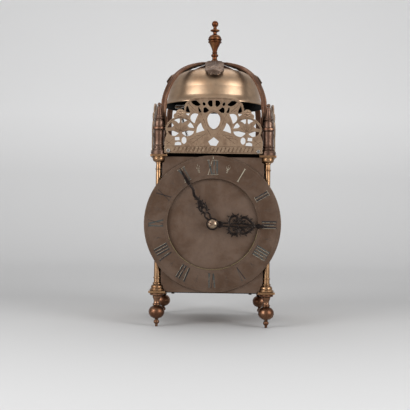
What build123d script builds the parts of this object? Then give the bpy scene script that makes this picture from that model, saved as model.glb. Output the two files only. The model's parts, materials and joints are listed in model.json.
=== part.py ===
"""Lantern clock: a brass posted frame with a pierced gallery, a strapped bell and two geared trains.

Millimetres. The floor is z = 0, the dial faces -Y, and +X is on the right of someone who reads the dial.
"""

import math
import os

from build123d import *

os.makedirs("parts", exist_ok=True)

# Driving dimensions
post_at = 68.0  # from the clock's axis to a pillar's axis, in X and in Y
foot_height = 42.0
frame_height = 166.5  # clear height between the two plates
plate_thickness = 2.5
plate_half = 78.0
dial_centre_height = 128.0
bell_rim_height = 282.5
bell_radius = 66.5
strap_width = 8.5
strap_thickness = 2.2
fret_thickness = 1.5
sheet = 2.0  # dial plate and back plate
door_thickness = 1.5
running = 0.05  # radial play of every pivot in its hole

# Heights of the frame, worked out from the driving dimensions
frame_foot = foot_height + plate_thickness
frame_top = frame_foot + frame_height
gallery_foot = frame_top + plate_thickness

# Depths, from the front (-Y) to the back (+Y)
dial_face = -71.0
back_face = 71.0
front_bar_y = -49.0
rear_bar_y = 49.0
bar_thickness = 3.0
bar_half_width = 7.0
fret_back = 76.0  # from the clock's axis to the inner face of a fret

# Wheels: teeth and modules. Both trains use the same wheels.
great_teeth, first_pinion_leaves, great_module = 72, 8, 1.05
second_teeth, second_pinion_leaves, second_module = 60, 6, 0.9
third_teeth, third_pinion_leaves, third_module = 72, 6, 0.6
escape_teeth, escape_radius = 40, 12.0
cannon_leaves, motion_teeth, motion_module = 10, 40, 1.0
motion_leaves, hour_teeth, hour_module = 10, 30, 1.25
count_leaves, count_teeth, count_module = 8, 48, 1.0

# Arbor heights, each set by the wheel and the pinion that it brings into mesh
first_mesh = great_module * (great_teeth + first_pinion_leaves) / 2
second_mesh = second_module * (second_teeth + second_pinion_leaves) / 2
third_mesh = third_module * (third_teeth + third_pinion_leaves) / 2
motion_mesh = motion_module * (cannon_leaves + motion_teeth) / 2
count_mesh = count_module * (count_leaves + count_teeth) / 2
great_z = dial_centre_height - first_mesh
third_z = dial_centre_height + second_mesh
fourth_z = third_z + third_mesh
motion_z = dial_centre_height - motion_mesh
count_z = great_z + count_mesh
anchor_z = 200.0

hammer_x, hammer_z, hammer_y = -20.0, 191.0, 20.0
head_x, head_z = -47.8, 287.5
hinge_x, hinge_y = 70.75, 57.0
minute_angle, hour_angle = -31.0, 92.0  # the hands' directions, clockwise from twelve

corners = {
    "front_left": (-post_at, -post_at),
    "front_right": (post_at, -post_at),
    "rear_left": (-post_at, post_at),
    "rear_right": (post_at, post_at),
}


def save(piece, name):
    """Label one finished piece and write it to its own file."""
    piece.part.label = name
    export_step(piece.part, f"parts/{name}.step")


BALL = "ball"


def arc_round_axis(start, stop):
    """The arc between two points of a half profile, one of them on the axis, that a ball centred there has."""
    tip, rim = (start, stop) if start[0] == 0 else (stop, start)
    rise = rim[1] - tip[1]
    radius = (rim[0] ** 2 + rise**2) / (2 * abs(rise))
    centre = tip[1] + math.copysign(radius, rise)
    at_rim = math.atan2(rim[1] - centre, rim[0])
    middle = (at_rim + math.atan2(tip[1] - centre, 0)) / 2
    ThreePointArc(start[:2], (radius * math.cos(middle), centre + radius * math.sin(middle)), stop[:2])


def outline(points):
    """Draw a closed line through (x, y) points. A third value is how far the stretch that ends there swells to its
    right, or BALL for a stretch that meets the axis as part of a ball."""
    stops = list(points) + [points[0]]
    for start, stop in zip(stops, stops[1:]):
        swell = stop[2] if len(stop) == 3 else 0
        if swell == BALL:
            arc_round_axis(start, stop)
        elif swell:
            SagittaArc(start[:2], stop[:2], -swell)
        else:
            Line(start[:2], stop[:2])


def plate_of(points, mode=Mode.ADD):
    """Fill the closed outline through the points, inside the sketch that is open."""
    with BuildLine() as border:
        outline(points)
    make_face(border.edges(), mode=mode)


def upright(x=0.0, y=0.0):
    """The vertical plane through (x, y) that faces the front, with local axes X and Z."""
    return Plane(origin=(x, y, 0), x_dir=(1, 0, 0), z_dir=(0, -1, 0))


def turned(origin, direction, points):
    """Revolve a half profile of (radius, distance) points about the axis at origin, in the open part."""
    radial = Vector(1, 0, 0) if direction[0] == 0 else Vector(0, 1, 0)
    with BuildSketch(Plane(origin=origin, x_dir=radial, z_dir=radial.cross(Vector(*direction)))) as half:
        plate_of(points)
    revolve(half.sketch, axis=Axis(origin, direction))


def turn_on_post(x, y, points):
    """Revolve a half profile of (radius, height) points about the vertical through (x, y), in the open part."""
    turned((x, y, 0), (0, 0, 1), points)


def rod(x, z, y_low, y_high, radius, mode=Mode.ADD):
    """A round bar along Y, added to or cut from the open part."""
    with BuildSketch(upright(0, y_high)) as section:
        with Locations((x, z)):
            Circle(radius)
    extrude(section.sketch, amount=y_high - y_low, mode=mode)


# ---------------------------------------------------------------- frame: plates, pillars, feet, finials

stud_radius = 2.5
finial_stud_radius = 2.0
notch_half, notch_depth = 57.0, 9.2
tenon_half = 4.0
screw_at = 48.0
screw_y = 65.5
rope_at, rope_radius = 12.5, 4.0
sprocket_y = 28.0
door_pin_radius = 1.5


def frame_plate(name, floor, post_hole_radius):
    """A square plate with front and back recesses for the sheets, and every hole that both plates share."""
    with BuildPart() as plate:
        with BuildSketch(Plane.XY.offset(floor)):
            Rectangle(2 * plate_half, 2 * plate_half)
            with Locations((0, plate_half), (0, -plate_half)):
                Rectangle(2 * notch_half, 2 * notch_depth, mode=Mode.SUBTRACT)
            with Locations(*corners.values()):
                Circle(post_hole_radius, mode=Mode.SUBTRACT)
            with Locations((0, front_bar_y), (0, 0), (0, rear_bar_y)):
                Rectangle(2 * tenon_half + 0.2, bar_thickness + 0.2, mode=Mode.SUBTRACT)
            with Locations((hinge_x, hinge_y), (-hinge_x, hinge_y)):
                Circle(door_pin_radius + running, mode=Mode.SUBTRACT)
            with GridLocations(2 * screw_at, 2 * screw_y, 2, 2):
                Circle(1.3, mode=Mode.SUBTRACT)
            if name == "bottom_plate":
                with GridLocations(2 * rope_at, 2 * sprocket_y, 2, 2):
                    Circle(rope_radius, mode=Mode.SUBTRACT)
            else:
                with Locations((-26.0, hammer_y)):
                    Rectangle(22, 9, mode=Mode.SUBTRACT)
        extrude(amount=plate_thickness)
        rim = plate.edges().filter_by(Axis.Z).group_by(Axis.X)
        fillet((rim[0] + rim[-1]), radius=1.5)
    save(plate, name)


def pillar(name, x, y):
    """A turned column with a moulded base and capital, bored for the foot's stud and the finial's."""
    base, top = frame_foot, frame_top
    with BuildPart() as post:
        turn_on_post(x, y, [
            (0, base), (8.1, base), (8.5, base + 0.5), (8.5, base + 2.4), (7.2, base + 3.1),
            (4.6, base + 7.6, 1.3), (4.6, base + 8.0), (4.6, base + 10.0, 0.8), (4.0, base + 10.6),
            (3.9, base + 15.2), (3.9, base + 17.2, 0.9), (3.2, top - 16.5), (3.2, top - 14.5, 0.8),
            (3.05, top - 8.6), (3.9, top - 7.8), (3.9, top - 6.8), (7.4, top - 2.2, 1.3), (7.6, top - 1.6),
            (7.6, top), (0, top),
        ])
        with Locations((x, y, base)):
            Cylinder(stud_radius + running, 8.0, align=(Align.CENTER, Align.CENTER, Align.MIN), mode=Mode.SUBTRACT)
        with Locations((x, y, top)):
            Cylinder(finial_stud_radius + running, 6.5, align=(Align.CENTER, Align.CENTER, Align.MAX),
                     mode=Mode.SUBTRACT)
    save(post, f"pillar_{name}")


def foot(name, x, y):
    """A turned foot: tip bead, ball and bell-shaped neck, with a stud that goes through the plate."""
    shoulder = foot_height
    with BuildPart() as piece:
        turn_on_post(x, y, [
            (0, 0), (1.6, 0), (1.75, 2.6), (2.0, 3.3), (2.0, 8.4, 1.5), (2.2, 9.4), (3.6, 10.3),
            (3.9, 25.8, 6.1), (4.6, 26.6), (4.6, 28.2, 0.5), (3.85, 29.4), (5.0, 35.6, -0.7),
            (5.2, 37.8), (4.4, 38.6), (8.2, 38.9), (8.2, shoulder - 0.2, 0.5), (8.0, shoulder),
            (stud_radius, shoulder), (stud_radius, frame_foot + 7.5), (0, frame_foot + 7.5),
        ])
    save(piece, f"foot_{name}")


strap_eye_height = 245.4


def finial(name, x, y):
    """A corner finial in two turned pieces that clamp the strap's eye: a vase below, and a spire with a stud."""
    base, eye = gallery_foot, strap_eye_height
    with BuildPart() as piece:
        turn_on_post(x, y, [
            (0, base), (9.4, base), (9.4, base + 3.6), (8.6, base + 4.6), (8.6, base + 5.4), (7.2, base + 6.2),
            (7.5, base + 7.6, 0.4), (6.6, base + 8.4), (6.6, base + 9.4), (7.1, base + 10.2),
            (7.1, base + 11.4, 0.4), (6.4, base + 12.4), (6.1, base + 20.0, -0.1), (6.3, base + 29.4, 0.1),
            (5.8, base + 30.2), (7.6, eye - 0.8), (7.6, eye), (0, eye),
        ])
        with Locations((x, y, eye)):
            Cylinder(finial_stud_radius + running, 9.0, align=(Align.CENTER, Align.CENTER, Align.MAX),
                     mode=Mode.SUBTRACT)
        with Locations((x, y, base)):
            Cylinder(finial_stud_radius, plate_thickness + 6.0, align=(Align.CENTER, Align.CENTER, Align.MAX))
        spire = eye + strap_thickness
        turn_on_post(x, y, [
            (0, eye - 8.0), (finial_stud_radius, eye - 8.0), (finial_stud_radius, spire), (5.4, spire),
            (6.1, spire + 0.9), (6.1, spire + 1.4), (5.4, spire + 8.0, 0.3), (4.2, spire + 8.8),
            (4.2, spire + 9.6), (5.1, spire + 10.2), (5.1, spire + 12.0, 0.4), (4.0, spire + 12.8),
            (4.0, spire + 15.0, 0.2), (3.4, spire + 15.6), (2.1, spire + 26.0, 0.15), (1.5, spire + 26.6),
            (0, spire + 30.87, BALL),
        ])
    save(piece, f"finial_{name}")


frame_plate("bottom_plate", foot_height, stud_radius + running)
frame_plate("top_plate", frame_top, finial_stud_radius + running)
for corner, (corner_x, corner_y) in corners.items():
    pillar(corner, corner_x, corner_y)
    foot(corner, corner_x, corner_y)
    finial(corner, corner_x, corner_y)

# ---------------------------------------------------------------- bell, its straps, and the crown over it

strap_crest = 339.2  # the middle line of the straps, over the bell's centre
crown_radius = 87.0
crown_centre = 256.2
crown_reach = 62.0
crown_stud_radius = 2.5
crown_flat = crown_centre + 86.8  # the seat of the central finial, on top of the leaves
bell_seat = 331.0  # the flat inside the bell's crown that its nut bears on
flare_top = bell_rim_height + 9.0

with BuildPart() as bell:
    turn_on_post(0, 0, [
        (bell_radius - 1.6, bell_rim_height, 0.7), (bell_radius, bell_rim_height),
        (bell_radius, bell_rim_height + 1.2), (61.6, flare_top, -0.7), (59.4, 303.0, 0.1), (39.5, 327.4, 5.0),
        (7.0, 334.2, 0.4), (7.0, strap_crest - strap_thickness / 2),
        (crown_stud_radius + running, strap_crest - strap_thickness / 2),
        (crown_stud_radius + running, bell_seat), (8.5, bell_seat), (38.0, 324.2, -0.4), (56.6, 302.6, -4.9),
        (59.0, flare_top, -0.1),
    ])
save(bell, "bell")

arm_length = post_at * math.sqrt(2)
shoulder_s, shoulder_z = 50.0, 329.0
heel_s, heel_z = 88.0, 282.5
ankle_s, ankle_z = 89.4, 266.0
eye_middle = strap_eye_height + strap_thickness / 2

with BuildPart() as strap_arm:
    with BuildSketch(upright(0, 0)):
        with BuildLine():
            crest = SagittaArc((5.0, strap_crest - 0.1), (shoulder_s, shoulder_z), 2.4)
            SagittaArc(crest @ 1, (heel_s, heel_z), 7.0)
            FilletPolyline((heel_s, heel_z), (ankle_s, ankle_z), (ankle_s - 0.8, eye_middle),
                           (arm_length, eye_middle), radius=2.0)
        trace(line_width=strap_thickness)
    extrude(amount=strap_width / 2, both=True)

with BuildPart() as bell_strap:
    for quarter in range(4):
        add(strap_arm.part, rotation=(0, 0, 45 + 90 * quarter))
    with BuildSketch(Plane.XY.offset(strap_eye_height)):
        with Locations(*corners.values()):
            Circle(8.0)
    extrude(amount=strap_thickness)
    with Locations((0, 0, strap_crest)):
        Cylinder(8.0, strap_thickness)
        Cylinder(9.0, 20, align=(Align.CENTER, Align.CENTER, Align.MAX), mode=Mode.SUBTRACT)
        Cylinder(8.0, strap_thickness)
    with BuildSketch(Plane.XY.offset(strap_eye_height)):
        Rectangle(2 * plate_half, 2 * plate_half)
        with Locations(*corners.values()):
            Circle(9.5, mode=Mode.SUBTRACT)
    extrude(amount=-4, mode=Mode.SUBTRACT)
    with BuildSketch(Plane.XY.offset(strap_eye_height - 8)):
        with Locations(*corners.values()):
            Circle(finial_stud_radius + running)
        Circle(crown_stud_radius + running)
    extrude(amount=110, mode=Mode.SUBTRACT)
save(bell_strap, "bell_strap")

leaf_half = 12.5
with BuildPart() as crown_leaves:
    turn_on_post(0, 0, [
        (0, crown_centre + crown_radius - 2.0), (crown_reach, crown_centre + 58.15, BALL),
        (crown_reach + 1.2, crown_centre + 60.3), (0, crown_centre + crown_radius, BALL),
    ])
    with BuildSketch(mode=Mode.PRIVATE) as one_leaf:
        plate_of([
            (0, -9.0), (20, -8.0, -0.6), (34, -leaf_half, 1.6), (50, -10.0, 2.2), (63, -3.0, 1.8),
            (63, 3.0, 0.6), (50, 10.0, 1.8), (34, leaf_half, 2.2), (20, 8.0, 1.6), (0, 9.0, -0.6),
        ])
    with BuildSketch(Plane.XY.offset(300)):
        for quarter in range(4):
            add(one_leaf.sketch, rotation=90 * quarter)
    extrude(amount=60, mode=Mode.INTERSECT)
    with Locations((0, 0, strap_crest + strap_thickness / 2)):
        Cylinder(6.0, 1.6, align=(Align.CENTER, Align.CENTER, Align.MIN))
    with Locations((0, 0, crown_flat)):
        Cylinder(9.0, 2.0, align=(Align.CENTER, Align.CENTER, Align.MIN), mode=Mode.SUBTRACT)
    with Locations((0, 0, 330)):
        Cylinder(crown_stud_radius + running, 20, align=(Align.CENTER, Align.CENTER, Align.MIN),
                 mode=Mode.SUBTRACT)
save(crown_leaves, "crown_leaves")

with BuildPart() as central_finial:
    seat = crown_flat
    turn_on_post(0, 0, [
        (0, seat - 16.0), (crown_stud_radius, seat - 16.0), (crown_stud_radius, seat), (5.4, seat),
        (5.0, seat + 1.6, 0.3), (3.5, seat + 2.8), (3.2, seat + 6.4, -0.2), (4.3, seat + 7.2),
        (4.3, seat + 9.8, 0.5), (2.8, seat + 10.8), (3.3, seat + 11.6), (3.3, seat + 12.8, 0.3),
        (2.9, seat + 13.4), (4.9, seat + 19.6, -0.2), (7.4, seat + 25.0, 0.1), (8.5, seat + 25.6),
        (8.5, seat + 27.4, 0.5), (7.6, seat + 28.2), (8.7, seat + 29.0), (8.7, seat + 30.6, 0.5),
        (3.5, seat + 36.2, 1.3), (2.8, seat + 36.8), (2.8, seat + 39.8, -0.3), (5.7, seat + 41.0),
        (5.7, seat + 42.6, 0.4), (2.6, seat + 43.8), (2.2, seat + 45.6), (2.2, seat + 46.8),
        (0, seat + 55.0, BALL),
    ])
save(central_finial, "central_finial")

with BuildPart() as bell_nut:
    with BuildSketch(Plane.XY.offset(bell_seat - 4)):
        RegularPolygon(radius=7.0, side_count=6)
        Circle(crown_stud_radius, mode=Mode.SUBTRACT)
    extrude(amount=4.0)
save(bell_nut, "bell_nut")

# ---------------------------------------------------------------- pierced frets round the top plate

fret_foot = gallery_foot + 1.6
flower_x, flower_z = 40.8, 244.8
flower_wide, flower_tall = 18.5, 15.3
screw_side, screw_z = 55.4, 218.0


def fret_windows():
    """The openings on the +X side of a fret: a spray of leaves in the crest, and a flower held in its ring."""
    with BuildSketch(mode=Mode.PRIVATE) as windows:
        for hole in (
            [(1.7, 273.8), (4.6, 273.0, 0.4), (8.0, 277.0, 0.5), (5.8, 280.6, 0.5), (1.7, 280.6, 0.3)],
            [(10.2, 275.6, 0.4), (12.2, 273.9, 0.5), (14.2, 276.0, 0.4), (12.6, 278.8, 0.6)],
            [(16.4, 275.4, 0.2), (21.6, 273.6, 0.7), (28.4, 278.8, 0.9), (21.6, 280.3, 0.9)],
            [(29.4, 265.2, 0.5), (34.6, 266.4, 0.3), (33.2, 274.6, 0.7)],
            [(15.2, 266.0), (18.2, 265.4, 0.3), (19.4, 269.4, 0.2), (18.6, 273.0, 0.3)],
            [(5.7, 268.6), (9.4, 265.4, 0.2), (12.8, 265.2, 0.1), (13.0, 271.0, 0.3), (10.0, 272.2, 0.4)],
            [(23.6, 252.2, -0.4), (28.9, 259.0, 1.4), (23.4, 264.4, 1.6), (19.1, 263.6, 0.2)],
            [(11.4, 243.4, -0.5), (21.2, 240.1, -0.2), (20.4, 247.0, 0.3), (15.8, 253.0, 0.6)],
            [(31.2, 261.3), (34.8, 264.0, 0.2), (29.6, 264.5)],
            [(32.7, 255.5), (36.0, 253.8), (38.2, 251.6), (39.7, 253.2), (39.7, 257.8), (36.2, 257.4, 0.1)],
            [(41.9, 253.2), (43.4, 251.6), (45.6, 253.8), (48.9, 255.5), (45.4, 257.4, 0.2), (41.9, 257.8, 0.1)],
            [(24.3, 246.2, 0.6), (30.0, 246.8), (32.4, 249.2), (29.0, 253.2)],
            [(57.3, 246.2), (52.6, 253.2, 0.6), (49.2, 249.2), (51.6, 246.8)],
            [(23.8, 242.4), (27.4, 237.6, 0.5), (33.8, 235.8, 0.4), (38.9, 239.4, 0.2), (38.9, 241.0), (31.0, 243.0)],
            [(43.0, 239.8), (47.6, 236.1, 0.3), (53.6, 237.6, 0.4), (56.6, 242.2, 0.4), (50.0, 242.6)],
            [(33.5, 231.0, 1.0), (36.4, 226.4, 1.0), (39.3, 231.0, 1.0), (36.4, 235.4, 1.0)],
            [(41.8, 231.1), (47.5, 230.8, 0.2), (47.8, 234.7), (42.4, 235.2)],
            [(39.6, 225.0), (47.8, 224.6), (47.6, 227.8), (43.6, 229.2, 0.3), (40.2, 228.2)],
        ):
            plate_of(hole)
    return windows.sketch


def fret(name, turn):
    """A pierced gallery plate: flower rings on each side of a spray of leaves under a low arch."""
    outward = Vector(0, -1, 0).rotate(Axis.Z, turn)
    sideways = Vector(1, 0, 0).rotate(Axis.Z, turn)
    windows = fret_windows()
    with BuildPart() as piece:
        with BuildSketch(Plane(origin=outward * fret_back, x_dir=sideways, z_dir=outward)):
            plate_of([
                (-60.4, fret_foot), (60.4, fret_foot), (60.4, 226.4), (57.4, 238.4, 1.0), (40, 260.4), (-40, 260.4),
                (-57.4, 238.4), (-60.4, 226.4, 1.0),
            ])
            plate_of([
                (-37, 260.4), (37, 260.4), (36.4, 272.4, 0.5), (32.6, 279.2, 0.8), (24.0, 283.2, 0.7),
                (0, 284.8, 0.6), (-24.0, 283.2, 0.6), (-32.6, 279.2, 0.7), (-36.4, 272.4, 0.8),
            ])
            with Locations((flower_x, flower_z), (-flower_x, flower_z)):
                Ellipse(flower_wide, flower_tall)
            with Locations((41.4, 264.4), (-41.4, 264.4)):
                Circle(5.4)
            with Locations((46.4, 261.0), (-46.4, 261.0), (36.8, 263.4), (-36.8, 263.4)):
                Circle(3.4)
            plate_of([
                (-7.8, 256.2, 0.7), (-4.6, 248.0, 0.6), (0, 244.9, 0.3), (4.6, 248.0, 0.3), (7.8, 256.2, 0.6),
                (6.2, 262.6, 0.7), (0, 266.0, 0.9), (-6.2, 262.6, 0.9),
            ], mode=Mode.SUBTRACT)
            plate_of([(-6.6, 229.8), (-3.8, 225.0), (3.4, 224.3), (6.6, 230.2), (0.2, 235.3)], mode=Mode.SUBTRACT)
            add(windows, mode=Mode.SUBTRACT)
            add(mirror(windows, about=Plane.YZ, mode=Mode.PRIVATE), mode=Mode.SUBTRACT)
            with Locations((screw_side, screw_z), (-screw_side, screw_z)):
                Circle(1.3, mode=Mode.SUBTRACT)
        extrude(amount=fret_thickness)
    save(piece, name)


fret("front_fret", 0)
fret("right_fret", 90)
fret("left_fret", -90)

post_wide, post_long, post_tall = 4.2, 10.0, 9.0
screw_radius, screw_length = 1.2, 8.0
screw_head_radius, screw_head_height = 2.2, 1.3
rail_out, rail_in, rail_height = 71.5, 67.6, 2.7
with BuildPart() as fret_posts:
    inset = fret_back - post_long / 2
    for side in (screw_side, -screw_side):
        with Locations((side, -inset, gallery_foot)):
            Box(post_wide, post_long, post_tall, align=(Align.CENTER, Align.CENTER, Align.MIN))
        with Locations((inset, side, gallery_foot), (-inset, side, gallery_foot)):
            Box(post_long, post_wide, post_tall, align=(Align.CENTER, Align.CENTER, Align.MIN))
    rail_at = (rail_out + rail_in) / 2
    with BuildSketch(Plane.XY.offset(gallery_foot)):
        with Locations((0, -rail_at)):
            Rectangle(2 * screw_side, rail_out - rail_in)
        with Locations((rail_at, 0), (-rail_at, 0)):
            Rectangle(rail_out - rail_in, 2 * screw_side)
    extrude(amount=rail_height)
    with BuildSketch(upright(0, post_long - fret_back)):
        with Locations((screw_side, screw_z), (-screw_side, screw_z)):
            Circle(screw_radius)
    extrude(amount=post_long, mode=Mode.SUBTRACT)
    with BuildSketch(Plane.YZ.offset(-fret_back)):
        with Locations((screw_side, screw_z), (-screw_side, screw_z)):
            Circle(screw_radius)
    extrude(amount=2 * fret_back, mode=Mode.SUBTRACT)
save(fret_posts, "fret_posts")

with BuildPart() as fret_screws:
    face = fret_back + fret_thickness
    for side in (screw_side, -screw_side):
        with BuildSketch(upright(0, -face)):
            with Locations((side, screw_z)):
                Circle(screw_head_radius)
        extrude(amount=screw_head_height)
        rod(side, screw_z, -face, screw_length - face, screw_radius)
        for out in (1, -1):
            with BuildSketch(Plane.YZ.offset(out * face)):
                with Locations((side, screw_z)):
                    Circle(screw_head_radius)
            extrude(amount=out * screw_head_height)
            with BuildSketch(Plane.YZ.offset(out * face)):
                with Locations((side, screw_z)):
                    Circle(screw_radius)
            extrude(amount=-out * screw_length)
save(fret_screws, "fret_screws")

# ---------------------------------------------------------------- dial plate, chapter ring, back plate, screws

sheet_half, sheet_tab = 63.1, 56.7
ring_outer, ring_inner = 84.8, 56.0
ring_back, ring_front = -73.0, -75.5


def standing_sheet(name, outer_face, hole_radius, hole_z):
    """A sheet that closes the front or the back, notched round the pillars' mouldings, with four screw lugs."""
    outward = math.copysign(1, outer_face)
    inner_face = outer_face - outward * sheet
    low, high, half = frame_foot, frame_top, sheet_half
    with BuildPart() as piece:
        with BuildSketch(upright(0, inner_face)):
            edge = [
                (sheet_tab, foot_height + 1.0), (sheet_tab, low), (59.3, low), (59.3, low + 3.0), (60.5, low + 3.2),
                (60.5, low + 6.4), (62.5, low + 7.8), (62.5, low + 10.4), (half, low + 10.8), (half, high - 7.6),
                (60.4, high - 6.8), (60.4, high),
            ]
            plate_of(edge + [(-x, z) for x, z in reversed(edge)])
            with Locations((0, hole_z)):
                Circle(hole_radius, mode=Mode.SUBTRACT)
        extrude(amount=-outward * sheet)
        for lug_z in (low, high - 3.0):
            for lug_x in (-screw_at, screw_at):
                with Locations((lug_x, inner_face - outward * 3.5, lug_z)):
                    Box(8, 7, 3.0, align=(Align.CENTER, Align.CENTER, Align.MIN))
                with Locations((lug_x, outward * screw_y, lug_z)):
                    Cylinder(1.25, 3.0, align=(Align.CENTER, Align.CENTER, Align.MIN), mode=Mode.SUBTRACT)
    save(piece, name)


standing_sheet("dial_plate", dial_face, 6.0, dial_centre_height)
standing_sheet("back_plate", back_face, 4.0, anchor_z)

with BuildPart() as chapter_ring:
    with BuildSketch(upright(0, ring_back)):
        with Locations((0, dial_centre_height)):
            Circle(ring_outer)
            Circle(ring_inner, mode=Mode.SUBTRACT)
    extrude(amount=ring_back - ring_front)
    chamfer(chapter_ring.faces().sort_by(Axis.Y)[0].edges(), length=0.5)
save(chapter_ring, "chapter_ring")

with BuildPart() as chapter_ring_feet:
    with BuildSketch(upright(0, dial_face)):
        with Locations((0, dial_centre_height)):
            with PolarLocations(66.0, 4, start_angle=45):
                Circle(2.5)
    extrude(amount=dial_face - ring_back)
save(chapter_ring_feet, "chapter_ring_feet")

with BuildPart() as plate_screws:
    for level, out in ((foot_height, -1), (gallery_foot, 1)):
        with BuildSketch(Plane.XY.offset(level)):
            with GridLocations(2 * screw_at, 2 * screw_y, 2, 2):
                Circle(1.9)
        extrude(amount=out * 1.4)
        with BuildSketch(Plane.XY.offset(level)):
            with GridLocations(2 * screw_at, 2 * screw_y, 2, 2):
                Circle(1.2)
        extrude(amount=-out * (plate_thickness + 3.0))
save(plate_screws, "plate_screws")

# ---------------------------------------------------------------- doors

door_foot, door_top = frame_foot + 0.6, frame_top - 0.6
door_front = -59.0


def door(name, side):
    """A side door with a rolled hinge edge, whose ends are the pivots in the two plates."""
    with BuildPart() as leaf:
        with BuildSketch(Plane.XY.offset(door_foot)):
            with Locations((side * hinge_x, (hinge_y + door_front) / 2)):
                Rectangle(door_thickness, hinge_y - door_front)
            with Locations((side * hinge_x, hinge_y)):
                Circle(door_pin_radius)
        extrude(amount=door_top - door_foot)
        with BuildSketch(Plane.XY.offset(foot_height + 0.2)):
            with Locations((side * hinge_x, hinge_y)):
                Circle(door_pin_radius)
        extrude(amount=gallery_foot - foot_height - 0.4)
        with BuildSketch(Plane.YZ.offset(side * hinge_x)):
            with Locations((door_front + 8.0, dial_centre_height)):
                Circle(1.0)
        extrude(amount=2, both=True, mode=Mode.SUBTRACT)
    save(leaf, f"{name}_door")
    knob_face = hinge_x + door_thickness / 2
    with BuildPart() as knob:
        turned((side * knob_face, door_front + 8.0, dial_centre_height), (side, 0, 0), [
            (0, -2.2), (0.95, -2.2), (0.95, 0), (2.0, 0), (1.2, 1.0), (1.2, 1.8), (2.4, 3.4, 0.3),
            (0, 6.0, BALL),
        ])
    save(knob, f"{name}_door_knob")


door("left", -1)
door("right", 1)

# ---------------------------------------------------------------- movement bars, wedges, cock

arm_x = -25.0
wedge_half = 1.5


def bar(name, y, pivots, arm=False, stud=None):
    """An upright movement bar with tenons, pivot holes, an optional side arm and an optional riveted wheel stud."""
    with BuildPart() as strip:
        with BuildSketch(upright(0, y + bar_thickness / 2)):
            with Locations((0, (frame_foot + frame_top) / 2)):
                Rectangle(2 * bar_half_width, frame_height)
            with Locations((0, (foot_height + gallery_foot + 6.0) / 2)):
                Rectangle(2 * tenon_half, gallery_foot + 6.0 - foot_height)
            if arm:
                plate_of([
                    (0, hammer_z - 5), (arm_x + 4, hammer_z - 4), (arm_x + 4, hammer_z + 4, 4.0),
                    (0, hammer_z + 5),
                ][::-1])
            for hole_x, hole_z, hole_radius in pivots:
                with Locations((hole_x, hole_z)):
                    Circle(hole_radius + running, mode=Mode.SUBTRACT)
        extrude(amount=bar_thickness)
        with Locations((0, y, gallery_foot + 1.5)):
            Box(2 * wedge_half, 8, 3.0, mode=Mode.SUBTRACT)
        if stud:
            stud_z, near, far, head = stud
            rod(0, stud_z, near, far, stud_post)
            rod(0, stud_z, head, head + 1.4, 3.0)
    save(strip, name)


pivot, centre_pivot, great_pivot = 1.0, 2.0, 1.5
stud_post = 1.5
going_pivots = [(0, great_z, great_pivot), (0, third_z, pivot), (0, fourth_z, pivot)]
bar("front_bar", front_bar_y, going_pivots + [(0, dial_centre_height, centre_pivot), (0, anchor_z, pivot)],
    stud=(motion_z, -63.5, front_bar_y, -64.7))
bar("centre_bar", 0, going_pivots + [
    (0, dial_centre_height, great_pivot), (0, anchor_z, 3.0), (hammer_x, hammer_z, 1.25)], arm=True)
bar("rear_bar", rear_bar_y, [
    (0, great_z, great_pivot), (0, dial_centre_height, great_pivot), (0, third_z, pivot),
    (0, fourth_z, pivot), (0, anchor_z, 3.0), (hammer_x, hammer_z, 1.25)], arm=True,
    stud=(count_z, rear_bar_y, 61.4, 60.4))

with BuildPart() as bar_wedges:
    for wedge_y in (front_bar_y, 0, rear_bar_y):
        with BuildSketch(Plane.YZ.offset(-wedge_half)):
            with Locations((wedge_y, 0)):
                plate_of([(-6, gallery_foot), (6, gallery_foot), (6, gallery_foot + 2.9), (-6, gallery_foot + 1.9)])
        extrude(amount=2 * wedge_half)
save(bar_wedges, "bar_wedges")

cock_arm_y = 83.7
with BuildPart() as anchor_cock:
    with BuildSketch(Plane.XY.offset(anchor_z - 5)):
        with BuildLine():
            outline([(-20, 71), (-10, 71), (-10, cock_arm_y), (10, cock_arm_y), (10, 71), (20, 71), (20, 73),
                     (12.5, 73), (12.5, cock_arm_y + 2.5), (-12.5, cock_arm_y + 2.5), (-12.5, 73), (-20, 73)])
        make_face()
    extrude(amount=10)
    rod(0, anchor_z, cock_arm_y - 1, cock_arm_y + 3, pivot + running, mode=Mode.SUBTRACT)
    for screw_x in (-16.2, 16.2):
        rod(screw_x, anchor_z, 73, 74.4, 2.0)
save(anchor_cock, "anchor_cock")

# ---------------------------------------------------------------- wheels


def toothed(teeth, pitch_radius, depth_out, depth_in, root_share, tip_share, first):
    """Fill a toothed outline about the sketch's origin, with one tooth's middle at the angle first, in degrees."""
    step = 2 * math.pi / teeth
    points = []
    for tooth in range(teeth):
        middle = math.radians(first) + tooth * step
        for radius, offset in (
            (pitch_radius - depth_in, -root_share / 2), (pitch_radius + depth_out, -tip_share / 2),
            (pitch_radius + depth_out, tip_share / 2), (pitch_radius - depth_in, root_share / 2),
        ):
            angle = middle + offset * step
            points.append((radius * math.cos(angle), radius * math.sin(angle)))
    with BuildLine() as border:
        Polyline(*points, close=True)
    make_face(border.edges())


def wheel_disc(z, y_low, y_high, teeth, module, first, spokes, hub_radius, bore_radius):
    """A crossed-out wheel about a Y arbor at height z, in the open part."""
    radius = module * teeth / 2
    rim = radius - 1.2 * module - max(1.6, 0.07 * radius)
    with BuildSketch(Plane(origin=(0, y_high, z), x_dir=(1, 0, 0), z_dir=(0, -1, 0))) as blank:
        toothed(teeth, radius, 0.95 * module, 1.2 * module, 0.62, 0.2, first)
        if spokes:
            Circle(rim, mode=Mode.SUBTRACT)
            Circle(hub_radius)
            with PolarLocations((rim + hub_radius) / 2, spokes, start_angle=45):
                Rectangle(rim - hub_radius + 1.6, 0.16 * radius)
        Circle(bore_radius, mode=Mode.SUBTRACT)
    extrude(blank.sketch, amount=y_high - y_low)


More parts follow.
